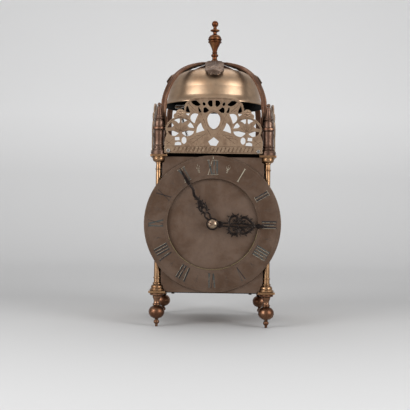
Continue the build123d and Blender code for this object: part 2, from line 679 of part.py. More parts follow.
def pinion(z, y_low, y_high, leaves, module, first, bore_radius=0.0):
    """A leafed pinion about a Y arbor at height z, in the open part."""
    with BuildSketch(Plane(origin=(0, y_high, z), x_dir=(1, 0, 0), z_dir=(0, -1, 0))) as blank:
        toothed(leaves, module * leaves / 2, 0.7 * module, 1.25 * module, 0.42, 0.2, first)
        if bore_radius:
            Circle(bore_radius, mode=Mode.SUBTRACT)
    extrude(blank.sketch, amount=y_high - y_low)


shared_pivot = bar_thickness / 2 - 0.1  # in the centre bar, two pivots meet in each hole


def arbor(z, y_low, y_high, radius, pivot_radius):
    """A steel arbor between two bars, with a thinner pivot at each end."""
    rod(0, z, y_low, y_high, radius)
    front = shared_pivot if y_low > 0 else bar_thickness
    rear = bar_thickness if y_low > 0 else shared_pivot
    rod(0, z, y_low - front, y_high + rear, pivot_radius)


up, down = 90.0, 270.0


def half_step(teeth):
    """Half a tooth's pitch, in degrees."""
    return 180.0 / teeth


pin_circle = 35.0


def great_wheel(name, low, high, wheel_y, pins, rear_pinion):
    """A great wheel on its arbor, which also turns the rope sprocket. The striking one lifts the hammer by pins."""
    with BuildPart() as piece:
        wheel_disc(great_z, wheel_y, wheel_y + 3, great_teeth, great_module, up, 4, 9.0, 2.9)
        for pin in range(pins):
            angle = math.radians(360 / pins * pin)
            pin_x, pin_z = pin_circle * math.cos(angle), great_z + pin_circle * math.sin(angle)
            rod(pin_x, pin_z, wheel_y + 3, wheel_y + 11.5, 1.1)
        arbor(great_z, low, high, 3.0, great_pivot)
        if rear_pinion:
            rod(0, great_z, high, high + 10, great_pivot)
            pinion(great_z, high + 4.2, high + 9.2, count_leaves, count_module, up + half_step(count_leaves))
    save(piece, name)


def sprocket(name, y):
    """A rope sprocket: a grooved drum with spikes in its groove, on the great wheel's arbor."""
    with BuildPart() as piece:
        with BuildSketch(Plane(origin=(0, 0, great_z), x_dir=(0, 1, 0), z_dir=(1, 0, 0))):
            plate_of([
                (y - 7, 3.0), (y + 7, 3.0), (y + 7, 14.0), (y + 5.4, 14.0), (y + 3.0, 10.5), (y - 3.0, 10.5),
                (y - 5.4, 14.0), (y - 7, 14.0),
            ])
        revolve(axis=Axis((0, 0, great_z), (0, 1, 0)))
        for spike in range(12):
            angle = math.radians(30 * spike)
            along = (math.cos(angle), 0, math.sin(angle))
            foot_at = (10 * along[0], y, great_z + 10 * along[2])
            with BuildSketch(Plane(origin=foot_at, z_dir=along)):
                Circle(0.8)
            extrude(amount=3.0)
    save(piece, name)


def second_arbor(name, low, high, wheel_y, pinion_y, front_end):
    """The arbor at the dial's centre height: a pinion of eight and a wheel of sixty."""
    with BuildPart() as piece:
        pinion(dial_centre_height, pinion_y, pinion_y + 7, first_pinion_leaves, great_module,
               down + half_step(first_pinion_leaves))
        wheel_disc(dial_centre_height, wheel_y, wheel_y + 2, second_teeth, second_module, up, 4, 6.5, 1.5)
        arbor(dial_centre_height, low, high, 2.0, great_pivot)
        if front_end < low:
            rod(0, dial_centre_height, front_end, low, 2.0)
    save(piece, name)


def third_arbor(name, low, high, wheel_y, pinion_y):
    """The next arbor up: a pinion of six and a wheel of seventy-two."""
    with BuildPart() as piece:
        pinion(third_z, pinion_y, pinion_y + 8, second_pinion_leaves, second_module,
               down + half_step(second_pinion_leaves))
        wheel_disc(third_z, wheel_y, wheel_y + 2, third_teeth, third_module, up, 4, 5.0, 1.2)
        arbor(third_z, low, high, 1.5, pivot)
    save(piece, name)


bar_half = bar_thickness / 2
going_low, going_high = front_bar_y + bar_half, -bar_half
strike_low, strike_high = bar_half, rear_bar_y - bar_half
hand_end = -82.6

great_wheel("great_wheel", going_low, going_high, -16.0, 0, False)
sprocket("going_sprocket", -sprocket_y)
second_arbor("centre_wheel", going_low, going_high, -40.0, -18.0, hand_end)
third_arbor("third_wheel", going_low, going_high, -27.0, -43.0)

great_wheel("strike_great_wheel", strike_low, strike_high, 10.0, 13, True)
sprocket("strike_sprocket", sprocket_y)
second_arbor("hoop_wheel", strike_low, strike_high, 38.0, 8.0, strike_low)
third_arbor("warning_wheel", strike_low, strike_high, 24.0, 35.0)

fourth_phase = down + half_step(third_pinion_leaves)
with BuildPart() as escape_wheel:
    pinion(fourth_z, -30, -22, third_pinion_leaves, third_module, fourth_phase)
    with BuildSketch(Plane(origin=(0, -8, fourth_z), x_dir=(1, 0, 0), z_dir=(0, -1, 0))):
        toothed(escape_teeth, escape_radius - 1.6, 1.6, 0.4, 0.5, 0.12, up)
        Circle(7.4, mode=Mode.SUBTRACT)
        Circle(3.0)
        Rectangle(16.4, 1.8)
        Rectangle(1.8, 16.4)
        Circle(1.0, mode=Mode.SUBTRACT)
    extrude(amount=1.5)
    arbor(fourth_z, going_low, going_high, 1.2, pivot)
save(escape_wheel, "escape_wheel")

with BuildPart() as fly:
    pinion(fourth_z, 21, 29, third_pinion_leaves, third_module, fourth_phase)
    arbor(fourth_z, strike_low, strike_high, 1.2, pivot)
    with Locations((0, 12, fourth_z)):
        Box(26, 15, 0.8)
        Box(5, 15, 3.2)
save(fly, "fly")

with BuildPart() as cannon_pinion:
    pinion(dial_centre_height, -56.5, -53, cannon_leaves, motion_module, down + half_step(cannon_leaves), 2.02)
    rod(0, dial_centre_height, -81.8, -53, 3.0)
    rod(0, dial_centre_height, -82, -52, 2.02, mode=Mode.SUBTRACT)
save(cannon_pinion, "cannon_pinion")

with BuildPart() as motion_wheel:
    wheel_disc(motion_z, -56, -54, motion_teeth, motion_module, up, 4, 6.5, 1.5)
    pinion(motion_z, -62.5, -56, motion_leaves, hour_module, up + half_step(motion_leaves))
    rod(0, motion_z, -62.6, -53.9, stud_post + running, mode=Mode.SUBTRACT)
save(motion_wheel, "motion_wheel")

with BuildPart() as hour_wheel:
    wheel_disc(dial_centre_height, -61.5, -59.5, hour_teeth, hour_module, down, 4, 7.5, 3.0)
    rod(0, dial_centre_height, -79.5, -59.5, 4.4)
    rod(0, dial_centre_height, -80, -59, 3.0 + running, mode=Mode.SUBTRACT)
save(hour_wheel, "hour_wheel")

with BuildPart() as count_wheel:
    with BuildSketch(Plane(origin=(0, 57, count_z), x_dir=(1, 0, 0), z_dir=(0, -1, 0))):
        toothed(count_teeth, count_teeth * count_module / 2, 0.95, 1.2, 0.62, 0.2, down)
        Circle(stud_post + running, mode=Mode.SUBTRACT)
    extrude(amount=2)
    with BuildSketch(Plane(origin=(0, 60, count_z), x_dir=(1, 0, 0), z_dir=(0, -1, 0))):
        Circle(21.0)
        strokes = 0
        for hour in range(1, 13):
            strokes += hour
            with Locations(Rotation(0, 0, -360 * (strokes - 0.5) / 78)):
                with Locations((21, 0)):
                    Rectangle(5, 2.0, mode=Mode.SUBTRACT)
        Circle(stud_post + running, mode=Mode.SUBTRACT)
    extrude(amount=3)
save(count_wheel, "count_wheel")

# ---------------------------------------------------------------- anchor, pendulum, hammer

pendulum_y = 79.0
bob_z = 62.0
with BuildPart() as anchor:
    rod(0, anchor_z, going_low, cock_arm_y - 0.4, 1.5)
    rod(0, anchor_z, front_bar_y - bar_half, cock_arm_y + 2.5, pivot)
    with BuildSketch(upright(0, -7.5)):
        with Locations((0, anchor_z)):
            Circle(3.6)
        plate_of([
            (-3.0, anchor_z + 2.2), (-11.6, anchor_z - 5.4, -1.0), (-12.6, anchor_z - 10.6), (-10.8, anchor_z - 10.6),
            (-9.6, anchor_z - 6.4), (-2.6, anchor_z - 2.4, 0.8),
        ])
        plate_of([
            (3.0, anchor_z + 2.2), (2.6, anchor_z - 2.4), (9.6, anchor_z - 6.4, 0.8), (10.8, anchor_z - 10.6),
            (12.6, anchor_z - 10.6), (11.6, anchor_z - 5.4),
        ])
    extrude(amount=2.5)
save(anchor, "anchor")

with BuildPart() as pendulum_rod:
    rod(0, anchor_z, pendulum_y - 2.5, pendulum_y + 2.5, 4.0)
    with BuildSketch(Plane.XY.offset(bob_z - 18)):
        with Locations((0, pendulum_y)):
            Circle(1.1)
    extrude(amount=anchor_z - bob_z + 16)
    with Locations((0, pendulum_y, bob_z - 17)):
        Cylinder(3.0, 1.8)
    rod(0, anchor_z, pendulum_y - 3, pendulum_y + 3, 1.5, mode=Mode.SUBTRACT)
save(pendulum_rod, "pendulum_rod")

with BuildPart() as pendulum_bob:
    turned((0, pendulum_y, bob_z), (0, 1, 0), [(0, -4.5), (15, -1.2, BALL), (15, 1.2), (0, 4.5, BALL)])
    with BuildSketch(Plane.XY.offset(bob_z - 20)):
        with Locations((0, pendulum_y)):
            Circle(1.1)
    extrude(amount=40, mode=Mode.SUBTRACT)
save(pendulum_bob, "pendulum_bob")

with BuildPart() as hammer:
    rod(hammer_x, hammer_z, strike_low, strike_high, 2.0)
    rod(hammer_x, hammer_z, strike_low - shared_pivot, strike_high + bar_thickness, 1.25)
    rod(hammer_x, hammer_z, hammer_y - 4, hammer_y + 4, 4.0)
    rise = Vector(head_x - hammer_x, 0, head_z - hammer_z)
    with BuildSketch(Plane(origin=(hammer_x, hammer_y, hammer_z), z_dir=rise)):
        Circle(1.5)
    extrude(amount=rise.length)
    turned((head_x, hammer_y, head_z), (1, 0, 0), [(0, -6), (4.4, -4.4, BALL), (3.0, 6.6, 0.4), (0, 8.2, BALL)])
    tail = Vector(-5.0, 0, 116.0 - hammer_z)
    with BuildSketch(Plane(origin=(hammer_x, hammer_y, hammer_z), z_dir=tail)):
        Circle(1.4)
    extrude(amount=tail.length)
save(hammer, "hammer")

with BuildPart() as hammer_spring:
    with BuildSketch(upright(0, hammer_y + 3)):
        plate_of([
            (-52, frame_foot), (-42, frame_foot), (-42, frame_foot + 2), (-43.6, frame_foot + 2),
            (-38.6, 118), (-39.4, 118.2), (-44.6, frame_foot + 2), (-52, frame_foot + 2),
        ])
    extrude(amount=6)
save(hammer_spring, "hammer_spring")

# ---------------------------------------------------------------- hands

hour_back, minute_back, hand_thickness = -78.2, -80.6, 1.2


def hand(name, back, bore_radius, boss_radius, turn, outlines, holes):
    """A pierced hand: outlines and holes are given pointing up from the arbor, then turned clockwise."""
    angle = math.radians(turn)
    across = (math.cos(angle), 0, -math.sin(angle))
    with BuildPart() as piece:
        with BuildSketch(Plane(origin=(0, back, dial_centre_height), x_dir=across, z_dir=(0, -1, 0))):
            Circle(boss_radius)
            for points in outlines:
                plate_of(points)
            for points in holes:
                plate_of(points, mode=Mode.SUBTRACT)
            Circle(bore_radius, mode=Mode.SUBTRACT)
        extrude(amount=hand_thickness)
    save(piece, name)


hand("hour_hand", hour_back, 4.4, 7.2, hour_angle, [
    [(3.2, 4), (2.2, 12, -0.4), (4.6, 19), (2.4, 23), (-2.4, 23), (-4.6, 19), (-2.2, 12), (-3.2, 4, -0.4)],
    [(2.2, 21), (9.5, 23.5, 1.5), (13.0, 32.0, 1.2), (9.0, 41.0, 1.4), (3.0, 50.5, -1.4), (-3.0, 50.5),
     (-9.0, 41.0, -1.4), (-13.0, 32.0, 1.4), (-9.5, 23.5, 1.2), (-2.2, 21, 1.5)],
    [(2.0, 49), (1.3, 53.5), (2.9, 56.5, 0.5), (1.2, 60.0, 0.4), (0.4, 67.5, -0.2), (-0.4, 67.5),
     (-1.2, 60.0, -0.2), (-2.9, 56.5, 0.4), (-1.3, 53.5, 0.5), (-2.0, 49)],
], [
    [(1.2, 26), (6.5, 26.5, 1.0), (9.6, 32.0, 0.9), (6.0, 38.5, 1.2), (1.2, 45.5, -1.0)],
    [(-1.2, 26), (-1.2, 45.5), (-6.0, 38.5, -1.0), (-9.6, 32.0, 1.2), (-6.5, 26.5, 0.9)],
])

hand("minute_hand", minute_back, 3.0, 5.6, minute_angle, [
    [(2.6, 3), (4.2, 9.0, 0.9), (3.4, 14.5, 0.7), (3.8, 20, -0.3), (2.6, 27, 0.5), (2.2, 34, -0.2),
     (1.4, 42, 0.1), (1.2, 52), (2.2, 56, 0.3), (1.2, 62, 0.3), (0.4, 80), (-0.4, 80), (-1.2, 62),
     (-2.2, 56, 0.3), (-1.2, 52, 0.3), (-1.4, 42), (-2.2, 34, 0.1), (-2.6, 27, -0.2), (-3.8, 20, 0.5),
     (-3.4, 14.5, -0.3), (-4.2, 9.0, 0.7), (-2.6, 3, 0.9)],
], [
    [(1.6, 8.6), (1.4, 12.6, 0.6), (-1.4, 12.6, 0.3), (-1.6, 8.6, 0.6)],
])

with BuildPart() as hand_nut:
    turned((0, 0, dial_centre_height), (0, -1, 0), [(0, 81.8), (7.0, 81.8), (7.2, 82.8, 0.2), (0, 86.2, BALL)])
    rod(0, dial_centre_height, hand_end, -81, 2.02, mode=Mode.SUBTRACT)
    with Locations((0, -86.2, dial_centre_height)):
        Box(16, 2.4, 1.2, mode=Mode.SUBTRACT)
save(hand_nut, "hand_nut")
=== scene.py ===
import json
import math

import bmesh
import bpy
from mathutils import Matrix, Vector


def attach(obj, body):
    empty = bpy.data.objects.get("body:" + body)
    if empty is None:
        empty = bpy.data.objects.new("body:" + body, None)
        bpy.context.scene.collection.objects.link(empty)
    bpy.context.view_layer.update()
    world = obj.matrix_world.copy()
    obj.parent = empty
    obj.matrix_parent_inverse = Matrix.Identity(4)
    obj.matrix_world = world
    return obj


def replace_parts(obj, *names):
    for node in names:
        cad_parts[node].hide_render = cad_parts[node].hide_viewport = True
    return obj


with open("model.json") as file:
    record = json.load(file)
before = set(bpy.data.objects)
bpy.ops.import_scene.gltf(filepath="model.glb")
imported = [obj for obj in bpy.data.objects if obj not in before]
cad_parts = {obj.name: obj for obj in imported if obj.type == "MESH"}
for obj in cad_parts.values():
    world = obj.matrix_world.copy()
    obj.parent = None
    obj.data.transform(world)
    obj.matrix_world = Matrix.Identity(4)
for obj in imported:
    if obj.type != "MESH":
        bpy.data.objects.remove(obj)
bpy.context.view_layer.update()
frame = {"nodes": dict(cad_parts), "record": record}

scene = bpy.context.scene
MM = 0.001

# Places of the clock, in millimetres in the frame's axes; its front faces -Y
DIAL_Z = 128.0
RING_FACE_Y = -75.5
FRET_Y = -77.5
HOUR_Y, MINUTE_Y = -78.2, -80.6
# Where the hands point, in degrees clockwise from twelve
HOUR_TURN, MINUTE_TURN = 92.0, -31.0


# ---------------------------------------------------------------- shader groups that several finishes share

def new_group(name, inputs, outputs):
    """An empty shader group with named sockets, and its node tree."""
    group = bpy.data.node_groups.new(name, "ShaderNodeTree")
    for label, kind, value in inputs:
        socket = group.interface.new_socket(label, in_out="INPUT", socket_type=kind)
        if value is not None:
            socket.default_value = value
    for label, kind in outputs:
        group.interface.new_socket(label, in_out="OUTPUT", socket_type=kind)
    entry = group.nodes.new("NodeGroupInput")
    leave = group.nodes.new("NodeGroupOutput")
    return group, entry.outputs, leave.inputs


def put(tree, kind, inputs=None, **settings):
    """Add one node: settings are its properties, and inputs are values or sockets by name or index."""
    made = tree.nodes.new(kind)
    for key, value in settings.items():
        setattr(made, key, value)
    for key, value in (inputs or {}).items():
        socket = made.inputs[key]
        if isinstance(value, bpy.types.NodeSocket):
            tree.links.new(value, socket)
        else:
            socket.default_value = value
    return made


def maths(tree, operation, first, second=0.0, clamp=False):
    """One Math node's output."""
    return put(tree, "ShaderNodeMath", {0: first, 1: second}, operation=operation, use_clamp=clamp).outputs[0]


def spread(tree, value, low, high, low_out=0.0, high_out=1.0):
    """A value moved from one range to another with soft ends."""
    return put(tree, "ShaderNodeMapRange",
               {"Value": value, "From Min": low, "From Max": high, "To Min": low_out, "To Max": high_out},
               interpolation_type="SMOOTHSTEP").outputs["Result"]


def blend_colours(tree, factor, first, second, how="MIX"):
    """One colour Mix node's output."""
    made = put(tree, "ShaderNodeMix", data_type="RGBA", blend_type=how, clamp_factor=True)
    for socket, value in ((made.inputs[0], factor), (made.inputs[6], first), (made.inputs[7], second)):
        if isinstance(value, bpy.types.NodeSocket):
            tree.links.new(value, socket)
        else:
            socket.default_value = value
    return made.outputs[2]


def noise(tree, vector, scale, detail=4.0, roughness=0.55, distortion=0.0):
    """A noise texture's value."""
    return put(tree, "ShaderNodeTexNoise", {
        "Vector": vector, "Scale": scale, "Detail": detail, "Roughness": roughness, "Distortion": distortion,
    }).outputs["Fac"]


# How far the dirt and painted shade in nooks and the wear on edges reach and how deep the skin is, in metres, and the
# sizes of the patterns
NOOK_REACH, EDGE_RADIUS = 0.0035, 0.00035
SKIN_DEPTH, RING_DEPTH = 0.0003, 0.0002
SPECK_SCALE, MOTTLE_TO_CLOUD, CLOUD_EDGE = 900.0, 7.0, 0.12


def make_tarnish():
    """Old metal: clouds of tarnish, dirt and painted shade in the corners, and rubbed edges."""
    tree, given, result = new_group("old metal", [
        ("Vector", "NodeSocketVector", None),
        ("Metal", "NodeSocketColor", (0.5, 0.4, 0.3, 1)),
        ("Tarnish", "NodeSocketColor", (0.2, 0.15, 0.1, 1)),
        ("Rubbed", "NodeSocketColor", (0.7, 0.6, 0.4, 1)),
        ("Dirt and shade", "NodeSocketColor", (0.03, 0.02, 0.015, 1)),
        ("Cloud size", "NodeSocketFloat", 60.0),
        ("Tarnish share", "NodeSocketFloat", 0.5),
        ("Dirt and shade share", "NodeSocketFloat", 0.8),
        ("Rubbing", "NodeSocketFloat", 0.6),
        ("Roughness", "NodeSocketFloat", 0.35),
        ("Unevenness", "NodeSocketFloat", 0.15),
    ], [
        ("Color", "NodeSocketColor"), ("Roughness", "NodeSocketFloat"), ("Height", "NodeSocketFloat"),
        ("Edge normal", "NodeSocketVector"),
    ])
    place = given["Vector"]
    clouds = noise(tree, place, given["Cloud size"], 6.0, 0.62, 0.4)
    specks = noise(tree, place, SPECK_SCALE, 3.0, 0.6)
    fine = maths(tree, "MULTIPLY", given["Cloud size"], MOTTLE_TO_CLOUD)
    mottles = noise(tree, place, fine, 4.0, 0.65)
    mixed = maths(tree, "ADD", maths(tree, "MULTIPLY", clouds, 0.65),
                  maths(tree, "MULTIPLY", mottles, 0.35))
    share = maths(tree, "SUBTRACT", 1.0, given["Tarnish share"])
    start = maths(tree, "SUBTRACT", share, CLOUD_EDGE)
    stop = maths(tree, "ADD", share, CLOUD_EDGE)
    tarnished = spread(tree, mixed, start, stop)
    colour = blend_colours(tree, tarnished, given["Metal"], given["Tarnish"])
    light_and_dark = spread(tree, mottles, 0.3, 0.7, 0.86, 1.14)
    colour = blend_colours(tree, 1.0, colour, put(tree, "ShaderNodeCombineColor", {
        0: light_and_dark, 1: light_and_dark, 2: light_and_dark}).outputs[0], "MULTIPLY")
    # Darker in nooks that ambient occlusion finds: dirt there, and painted shade as well
    shut_in = put(tree, "ShaderNodeAmbientOcclusion", {"Distance": NOOK_REACH}, samples=6).outputs["AO"]
    grime_and_shade = maths(tree, "MULTIPLY", spread(tree, shut_in, 0.75, 0.25), given["Dirt and shade share"])
    colour = blend_colours(tree, grime_and_shade, colour, given["Dirt and shade"])
    round_normal = put(tree, "ShaderNodeBevel", {"Radius": EDGE_RADIUS}, samples=4).outputs["Normal"]
    flat_normal = put(tree, "ShaderNodeNewGeometry").outputs["Normal"]
    alike = put(tree, "ShaderNodeVectorMath", {0: round_normal, 1: flat_normal}, operation="DOT_PRODUCT")
    edge = spread(tree, alike.outputs["Value"], 0.995, 0.9)
    patchy = spread(tree, mottles, 0.35, 0.6)
    rubbed = maths(tree, "MULTIPLY", maths(tree, "MULTIPLY", edge, patchy), given["Rubbing"])
    colour = blend_colours(tree, rubbed, colour, given["Rubbed"])
    tree.links.new(colour, result["Color"])
    rougher = maths(tree, "MULTIPLY", given["Unevenness"], maths(tree, "SUBTRACT", tarnished, 0.4))
    rough = maths(tree, "ADD", given["Roughness"], rougher)
    rough = maths(tree, "ADD", rough, maths(tree, "MULTIPLY", grime_and_shade, 0.3))
    tree.links.new(maths(tree, "SUBTRACT", rough, maths(tree, "MULTIPLY", rubbed, 0.1), True),
                   result["Roughness"])
    tree.links.new(maths(tree, "ADD", mottles, maths(tree, "MULTIPLY", specks, 0.35)), result["Height"])
    tree.links.new(round_normal, result["Edge normal"])
    return tree


def make_turning():
    """Fine rings left by the lathe: noise squeezed along the axis of turning."""
    group, given, result = new_group("turned rings", [
        ("Vector", "NodeSocketVector", None),
        ("Across", "NodeSocketFloat", 20.0),
        ("Along", "NodeSocketFloat", 1800.0),
    ], [("Height", "NodeSocketFloat")])
    axes = put(group, "ShaderNodeSeparateXYZ", {0: given["Vector"]}).outputs
    squeezed = put(group, "ShaderNodeCombineXYZ", {
        0: maths(group, "MULTIPLY", axes[0], given["Across"]),
        1: maths(group, "MULTIPLY", axes[1], given["Across"]),
        2: maths(group, "MULTIPLY", axes[2], given["Along"]),
    }).outputs[0]
    group.links.new(noise(group, squeezed, 1.0, 3.0, 0.6), result["Height"])
    return group


TARNISH = make_tarnish()
TURNING = make_turning()
SCREEN_GAMMA = 2.2


def tone(red, green, blue):
    """A colour given as it looks on a screen, from 0 to 255, as the shader wants it."""
    return tuple((part / 255) ** SCREEN_GAMMA for part in (red, green, blue)) + (1.0,)


def metal_finish(name, metal, tarnish, rubbed, dirt_and_shade=(30, 22, 18), cloud=60.0, share=0.5, dirt_and_shade_share=0.8,
                 rubbing=0.6, rough=0.35, uneven=0.15, metallic=1.0, bump=0.15, turned=None, rings=0.0):
    """A metal with the shared tarnish group, and where it was turned, fine rings."""
    made = bpy.data.materials.new(name)
    made.use_nodes = True
    tree = made.node_tree
    shader = tree.nodes["Principled BSDF"]
    shader.inputs["Metallic"].default_value = metallic
    where = put(tree, "ShaderNodeTexCoord").outputs["Object"]
    old = put(tree, "ShaderNodeGroup", node_tree=TARNISH)
    tree.links.new(where, old.inputs["Vector"])
    for label, value in (
        ("Metal", tone(*metal)), ("Tarnish", tone(*tarnish)), ("Rubbed", tone(*rubbed)),
        ("Dirt and shade", tone(*dirt_and_shade)),
        ("Cloud size", cloud), ("Tarnish share", share), ("Dirt and shade share", dirt_and_shade_share), ("Rubbing", rubbing),
        ("Roughness", rough), ("Unevenness", uneven),
    ):
        old.inputs[label].default_value = value
    tree.links.new(old.outputs["Color"], shader.inputs["Base Color"])
    tree.links.new(old.outputs["Roughness"], shader.inputs["Roughness"])
    skin = put(tree, "ShaderNodeBump", {
        "Height": old.outputs["Height"], "Strength": bump, "Distance": SKIN_DEPTH,
        "Normal": old.outputs["Edge normal"],
    })
    if turned:
        lathe = put(tree, "ShaderNodeGroup", node_tree=TURNING)
        tree.links.new(where, lathe.inputs["Vector"])
        lathe.inputs["Across"].default_value, lathe.inputs["Along"].default_value = turned
        skin = put(tree, "ShaderNodeBump", {
            "Height": lathe.outputs["Height"], "Strength": rings, "Distance": RING_DEPTH,
            "Normal": skin.outputs["Normal"],
        })
    tree.links.new(skin.outputs["Normal"], shader.inputs["Normal"])
    return made


# Each finish: its metal, its tarnish and its rubbed edges as they look on a screen, and its texture
FINISHES = {
    "pillar_brass": dict(
        metal=(156, 124, 94), tarnish=(116, 84, 60), rubbed=(222, 196, 158),
        cloud=45, share=0.45, rough=0.33, uneven=0.12, turned=(30, 1500), rings=0.14, bump=0.12),
    "foot_brass": dict(
        metal=(152, 118, 94), tarnish=(100, 70, 54), rubbed=(226, 198, 160),
        cloud=55, share=0.55, rough=0.31, uneven=0.14, turned=(30, 1500), rings=0.1, bump=0.12),
    "finial_brass": dict(
        metal=(126, 104, 92), tarnish=(88, 68, 58), rubbed=(186, 160, 136),
        cloud=70, share=0.55, rough=0.4, uneven=0.14, turned=(30, 1200), rings=0.14, bump=0.25),
    "crown_finial_brass": dict(
        metal=(146, 106, 74), tarnish=(96, 58, 40), rubbed=(212, 182, 136),
        cloud=90, share=0.6, rough=0.3, uneven=0.14, turned=(30, 1200), rings=0.1, bump=0.15),
    "strap_brass": dict(
        metal=(142, 110, 90), tarnish=(102, 74, 61), rubbed=(204, 174, 142),
        cloud=50, share=0.55, rough=0.4, uneven=0.14, bump=0.2),
    "leaf_brass": dict(
        metal=(132, 112, 98), tarnish=(86, 70, 60), rubbed=(190, 172, 150),
        cloud=90, share=0.55, rough=0.4, uneven=0.15, bump=0.3),
    "bell_brass": dict(
        metal=(172, 146, 121), tarnish=(148, 120, 95), rubbed=(208, 184, 154),
        cloud=22, share=0.45, rough=0.43, uneven=0.06, turned=(3, 900), rings=0.08, bump=0.03,
        dirt_and_shade_share=0.5),
    "fret_brass": dict(
        metal=(172, 146, 122), tarnish=(128, 106, 88), rubbed=(222, 204, 178),
        cloud=80, share=0.5, rough=0.42, uneven=0.14, bump=0.45, rubbing=0.9),
    "plate_brass": dict(
        metal=(168, 134, 100), tarnish=(122, 90, 66), rubbed=(218, 186, 144),
        cloud=50, share=0.5, rough=0.34, uneven=0.15, bump=0.15),
    "dial_brass": dict(
        metal=(112, 94, 82), tarnish=(88, 70, 58), rubbed=(150, 130, 108),
        cloud=26, share=0.5, rough=0.5, uneven=0.12, metallic=0.85, bump=0.25, rubbing=0.4),
    "ring_brass": dict(
        metal=(108, 90, 78), tarnish=(84, 66, 54), rubbed=(168, 148, 122),
        cloud=34, share=0.52, rough=0.46, uneven=0.12, metallic=0.85, bump=0.25, rubbing=0.6),
    "door_brass": dict(
        metal=(170, 140, 102), tarnish=(128, 98, 68), rubbed=(216, 188, 146),
        cloud=28, share=0.48, rough=0.36, uneven=0.14, bump=0.12),
    "nut_brass": dict(
        metal=(168, 150, 128), tarnish=(104, 80, 68), rubbed=(226, 212, 188),
        cloud=150, share=0.5, rough=0.36, uneven=0.15, bump=0.15),
    "screw_steel": dict(
        metal=(196, 190, 182), tarnish=(128, 120, 112), rubbed=(240, 236, 230),
        cloud=200, share=0.4, rough=0.28, uneven=0.15, bump=0.1),
    "bar_iron": dict(
        metal=(96, 90, 86), tarnish=(58, 50, 46), rubbed=(150, 146, 142),
        cloud=60, share=0.55, rough=0.5, uneven=0.15, bump=0.5),
    "wheel_brass": dict(
        metal=(204, 172, 116), tarnish=(164, 128, 80), rubbed=(238, 214, 164),
        cloud=40, share=0.42, rough=0.3, uneven=0.12, bump=0.08),
    "movement_steel": dict(
        metal=(168, 166, 164), tarnish=(112, 106, 100), rubbed=(214, 212, 208),
        cloud=80, share=0.4, rough=0.3, uneven=0.12, bump=0.08),
    "bob_brass": dict(
        metal=(190, 152, 104), tarnish=(144, 106, 70), rubbed=(230, 198, 150),
        cloud=60, share=0.4, rough=0.25, uneven=0.12, bump=0.06),
    "hand_steel": dict(
        metal=(60, 52, 48), tarnish=(31, 26, 25), rubbed=(122, 110, 100),
        cloud=160, share=0.55, dirt_and_shade=(10, 9, 9), rough=0.36, uneven=0.12, metallic=0.85, bump=0.25,
        rubbing=0.6),
}
finishes = {name: metal_finish(name, **settings) for name, settings in FINISHES.items()}

DARK_ROUGHNESS = 0.7
# The recess behind the fret's foot, whose edge is painted dark as shade, in metres: half its length along X, and where
# along Y it begins
RECESS_HALF, RECESS_Y = 0.0570, -0.0665


def darken(material, mask_of, dark):
    """Lay a dark colour over a finish where a mask of the object's own coordinates and normal says so."""
    tree = material.node_tree
    shader = tree.nodes["Principled BSDF"]
    where = put(tree, "ShaderNodeTexCoord").outputs["Object"]
    place = put(tree, "ShaderNodeSeparateXYZ", {0: where}).outputs
    normal = put(tree, "ShaderNodeNewGeometry").outputs["Normal"]
    facing = put(tree, "ShaderNodeSeparateXYZ", {0: normal}).outputs
    mask = mask_of(tree, place, facing)
    plain = shader.inputs["Base Color"].links[0].from_socket
    tree.links.new(blend_colours(tree, mask, plain, tone(*dark)), shader.inputs["Base Color"])
    rough = shader.inputs["Roughness"].links[0].from_socket
    rougher = maths(tree, "MAXIMUM", rough, maths(tree, "MULTIPLY", mask, DARK_ROUGHNESS))
    tree.links.new(rougher, shader.inputs["Roughness"])


def bell_patina_and_shade(tree, place, facing):
    """Where the surface faces the bell's own axis or faces down: dark patina there, and painted shade inside and under
    the bell.
    """
    outward = maths(tree, "ADD", maths(tree, "MULTIPLY", place[0], facing[0]),
                    maths(tree, "MULTIPLY", place[1], facing[1]))
    below = spread(tree, facing[2], -0.05, -0.3)
    return maths(tree, "MAXIMUM", spread(tree, outward, 0.002, -0.002), below)


def recess_shade(tree, place, facing):
    """The plate's edge behind the dial plate and the fret, painted dark as the shade behind the fret."""
    middle = spread(tree, maths(tree, "ABSOLUTE", place[0]), RECESS_HALF + 0.0002, RECESS_HALF - 0.0002)
    return maths(tree, "MULTIPLY", middle, spread(tree, place[1], RECESS_Y + 0.0005, RECESS_Y - 0.0005))


# Inside and under the bell: its dark patina together with painted shade
darken(finishes["bell_brass"], bell_patina_and_shade, (22, 18, 16))
# Painted shade on the top plate's recessed edge behind the fret
darken(finishes["plate_brass"], recess_shade, (20, 16, 14))

for part in frame["record"]["subparts"]:
    mesh = frame["nodes"][part["node"]].data
    mesh.materials.clear()
    mesh.materials.append(finishes[part["material_slot"]])


# ---------------------------------------------------------------- helpers for new pieces, in millimetres

def finish_piece(work, name, finish, body, sharp=35):
    """Turn a bmesh drawn in millimetres into a piece that rides on a body."""
    bmesh.ops.recalc_face_normals(work, faces=work.faces)
    bmesh.ops.scale(work, vec=(MM, MM, MM), verts=work.verts)
    mesh = bpy.data.meshes.new(name)
    work.to_mesh(mesh)
    work.free()
    for each in finish if isinstance(finish, list) else [finish]:
        mesh.materials.append(each)
    mesh.shade_smooth()
    mesh.set_sharp_from_angle(angle=math.radians(sharp))
    piece = bpy.data.objects.new(name, mesh)
    scene.collection.objects.link(piece)
    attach(piece, body)
    return piece


def paint(verts, finish):
    """Give the faces round these vertices one of their piece's finishes, by its place in the list."""
    for face in {face for vert in verts for face in vert.link_faces}:
        face.material_index = finish


def shift(work, verts, matrix):
    """Move some vertices of the bmesh by a matrix."""
    bmesh.ops.transform(work, matrix=matrix, verts=verts)


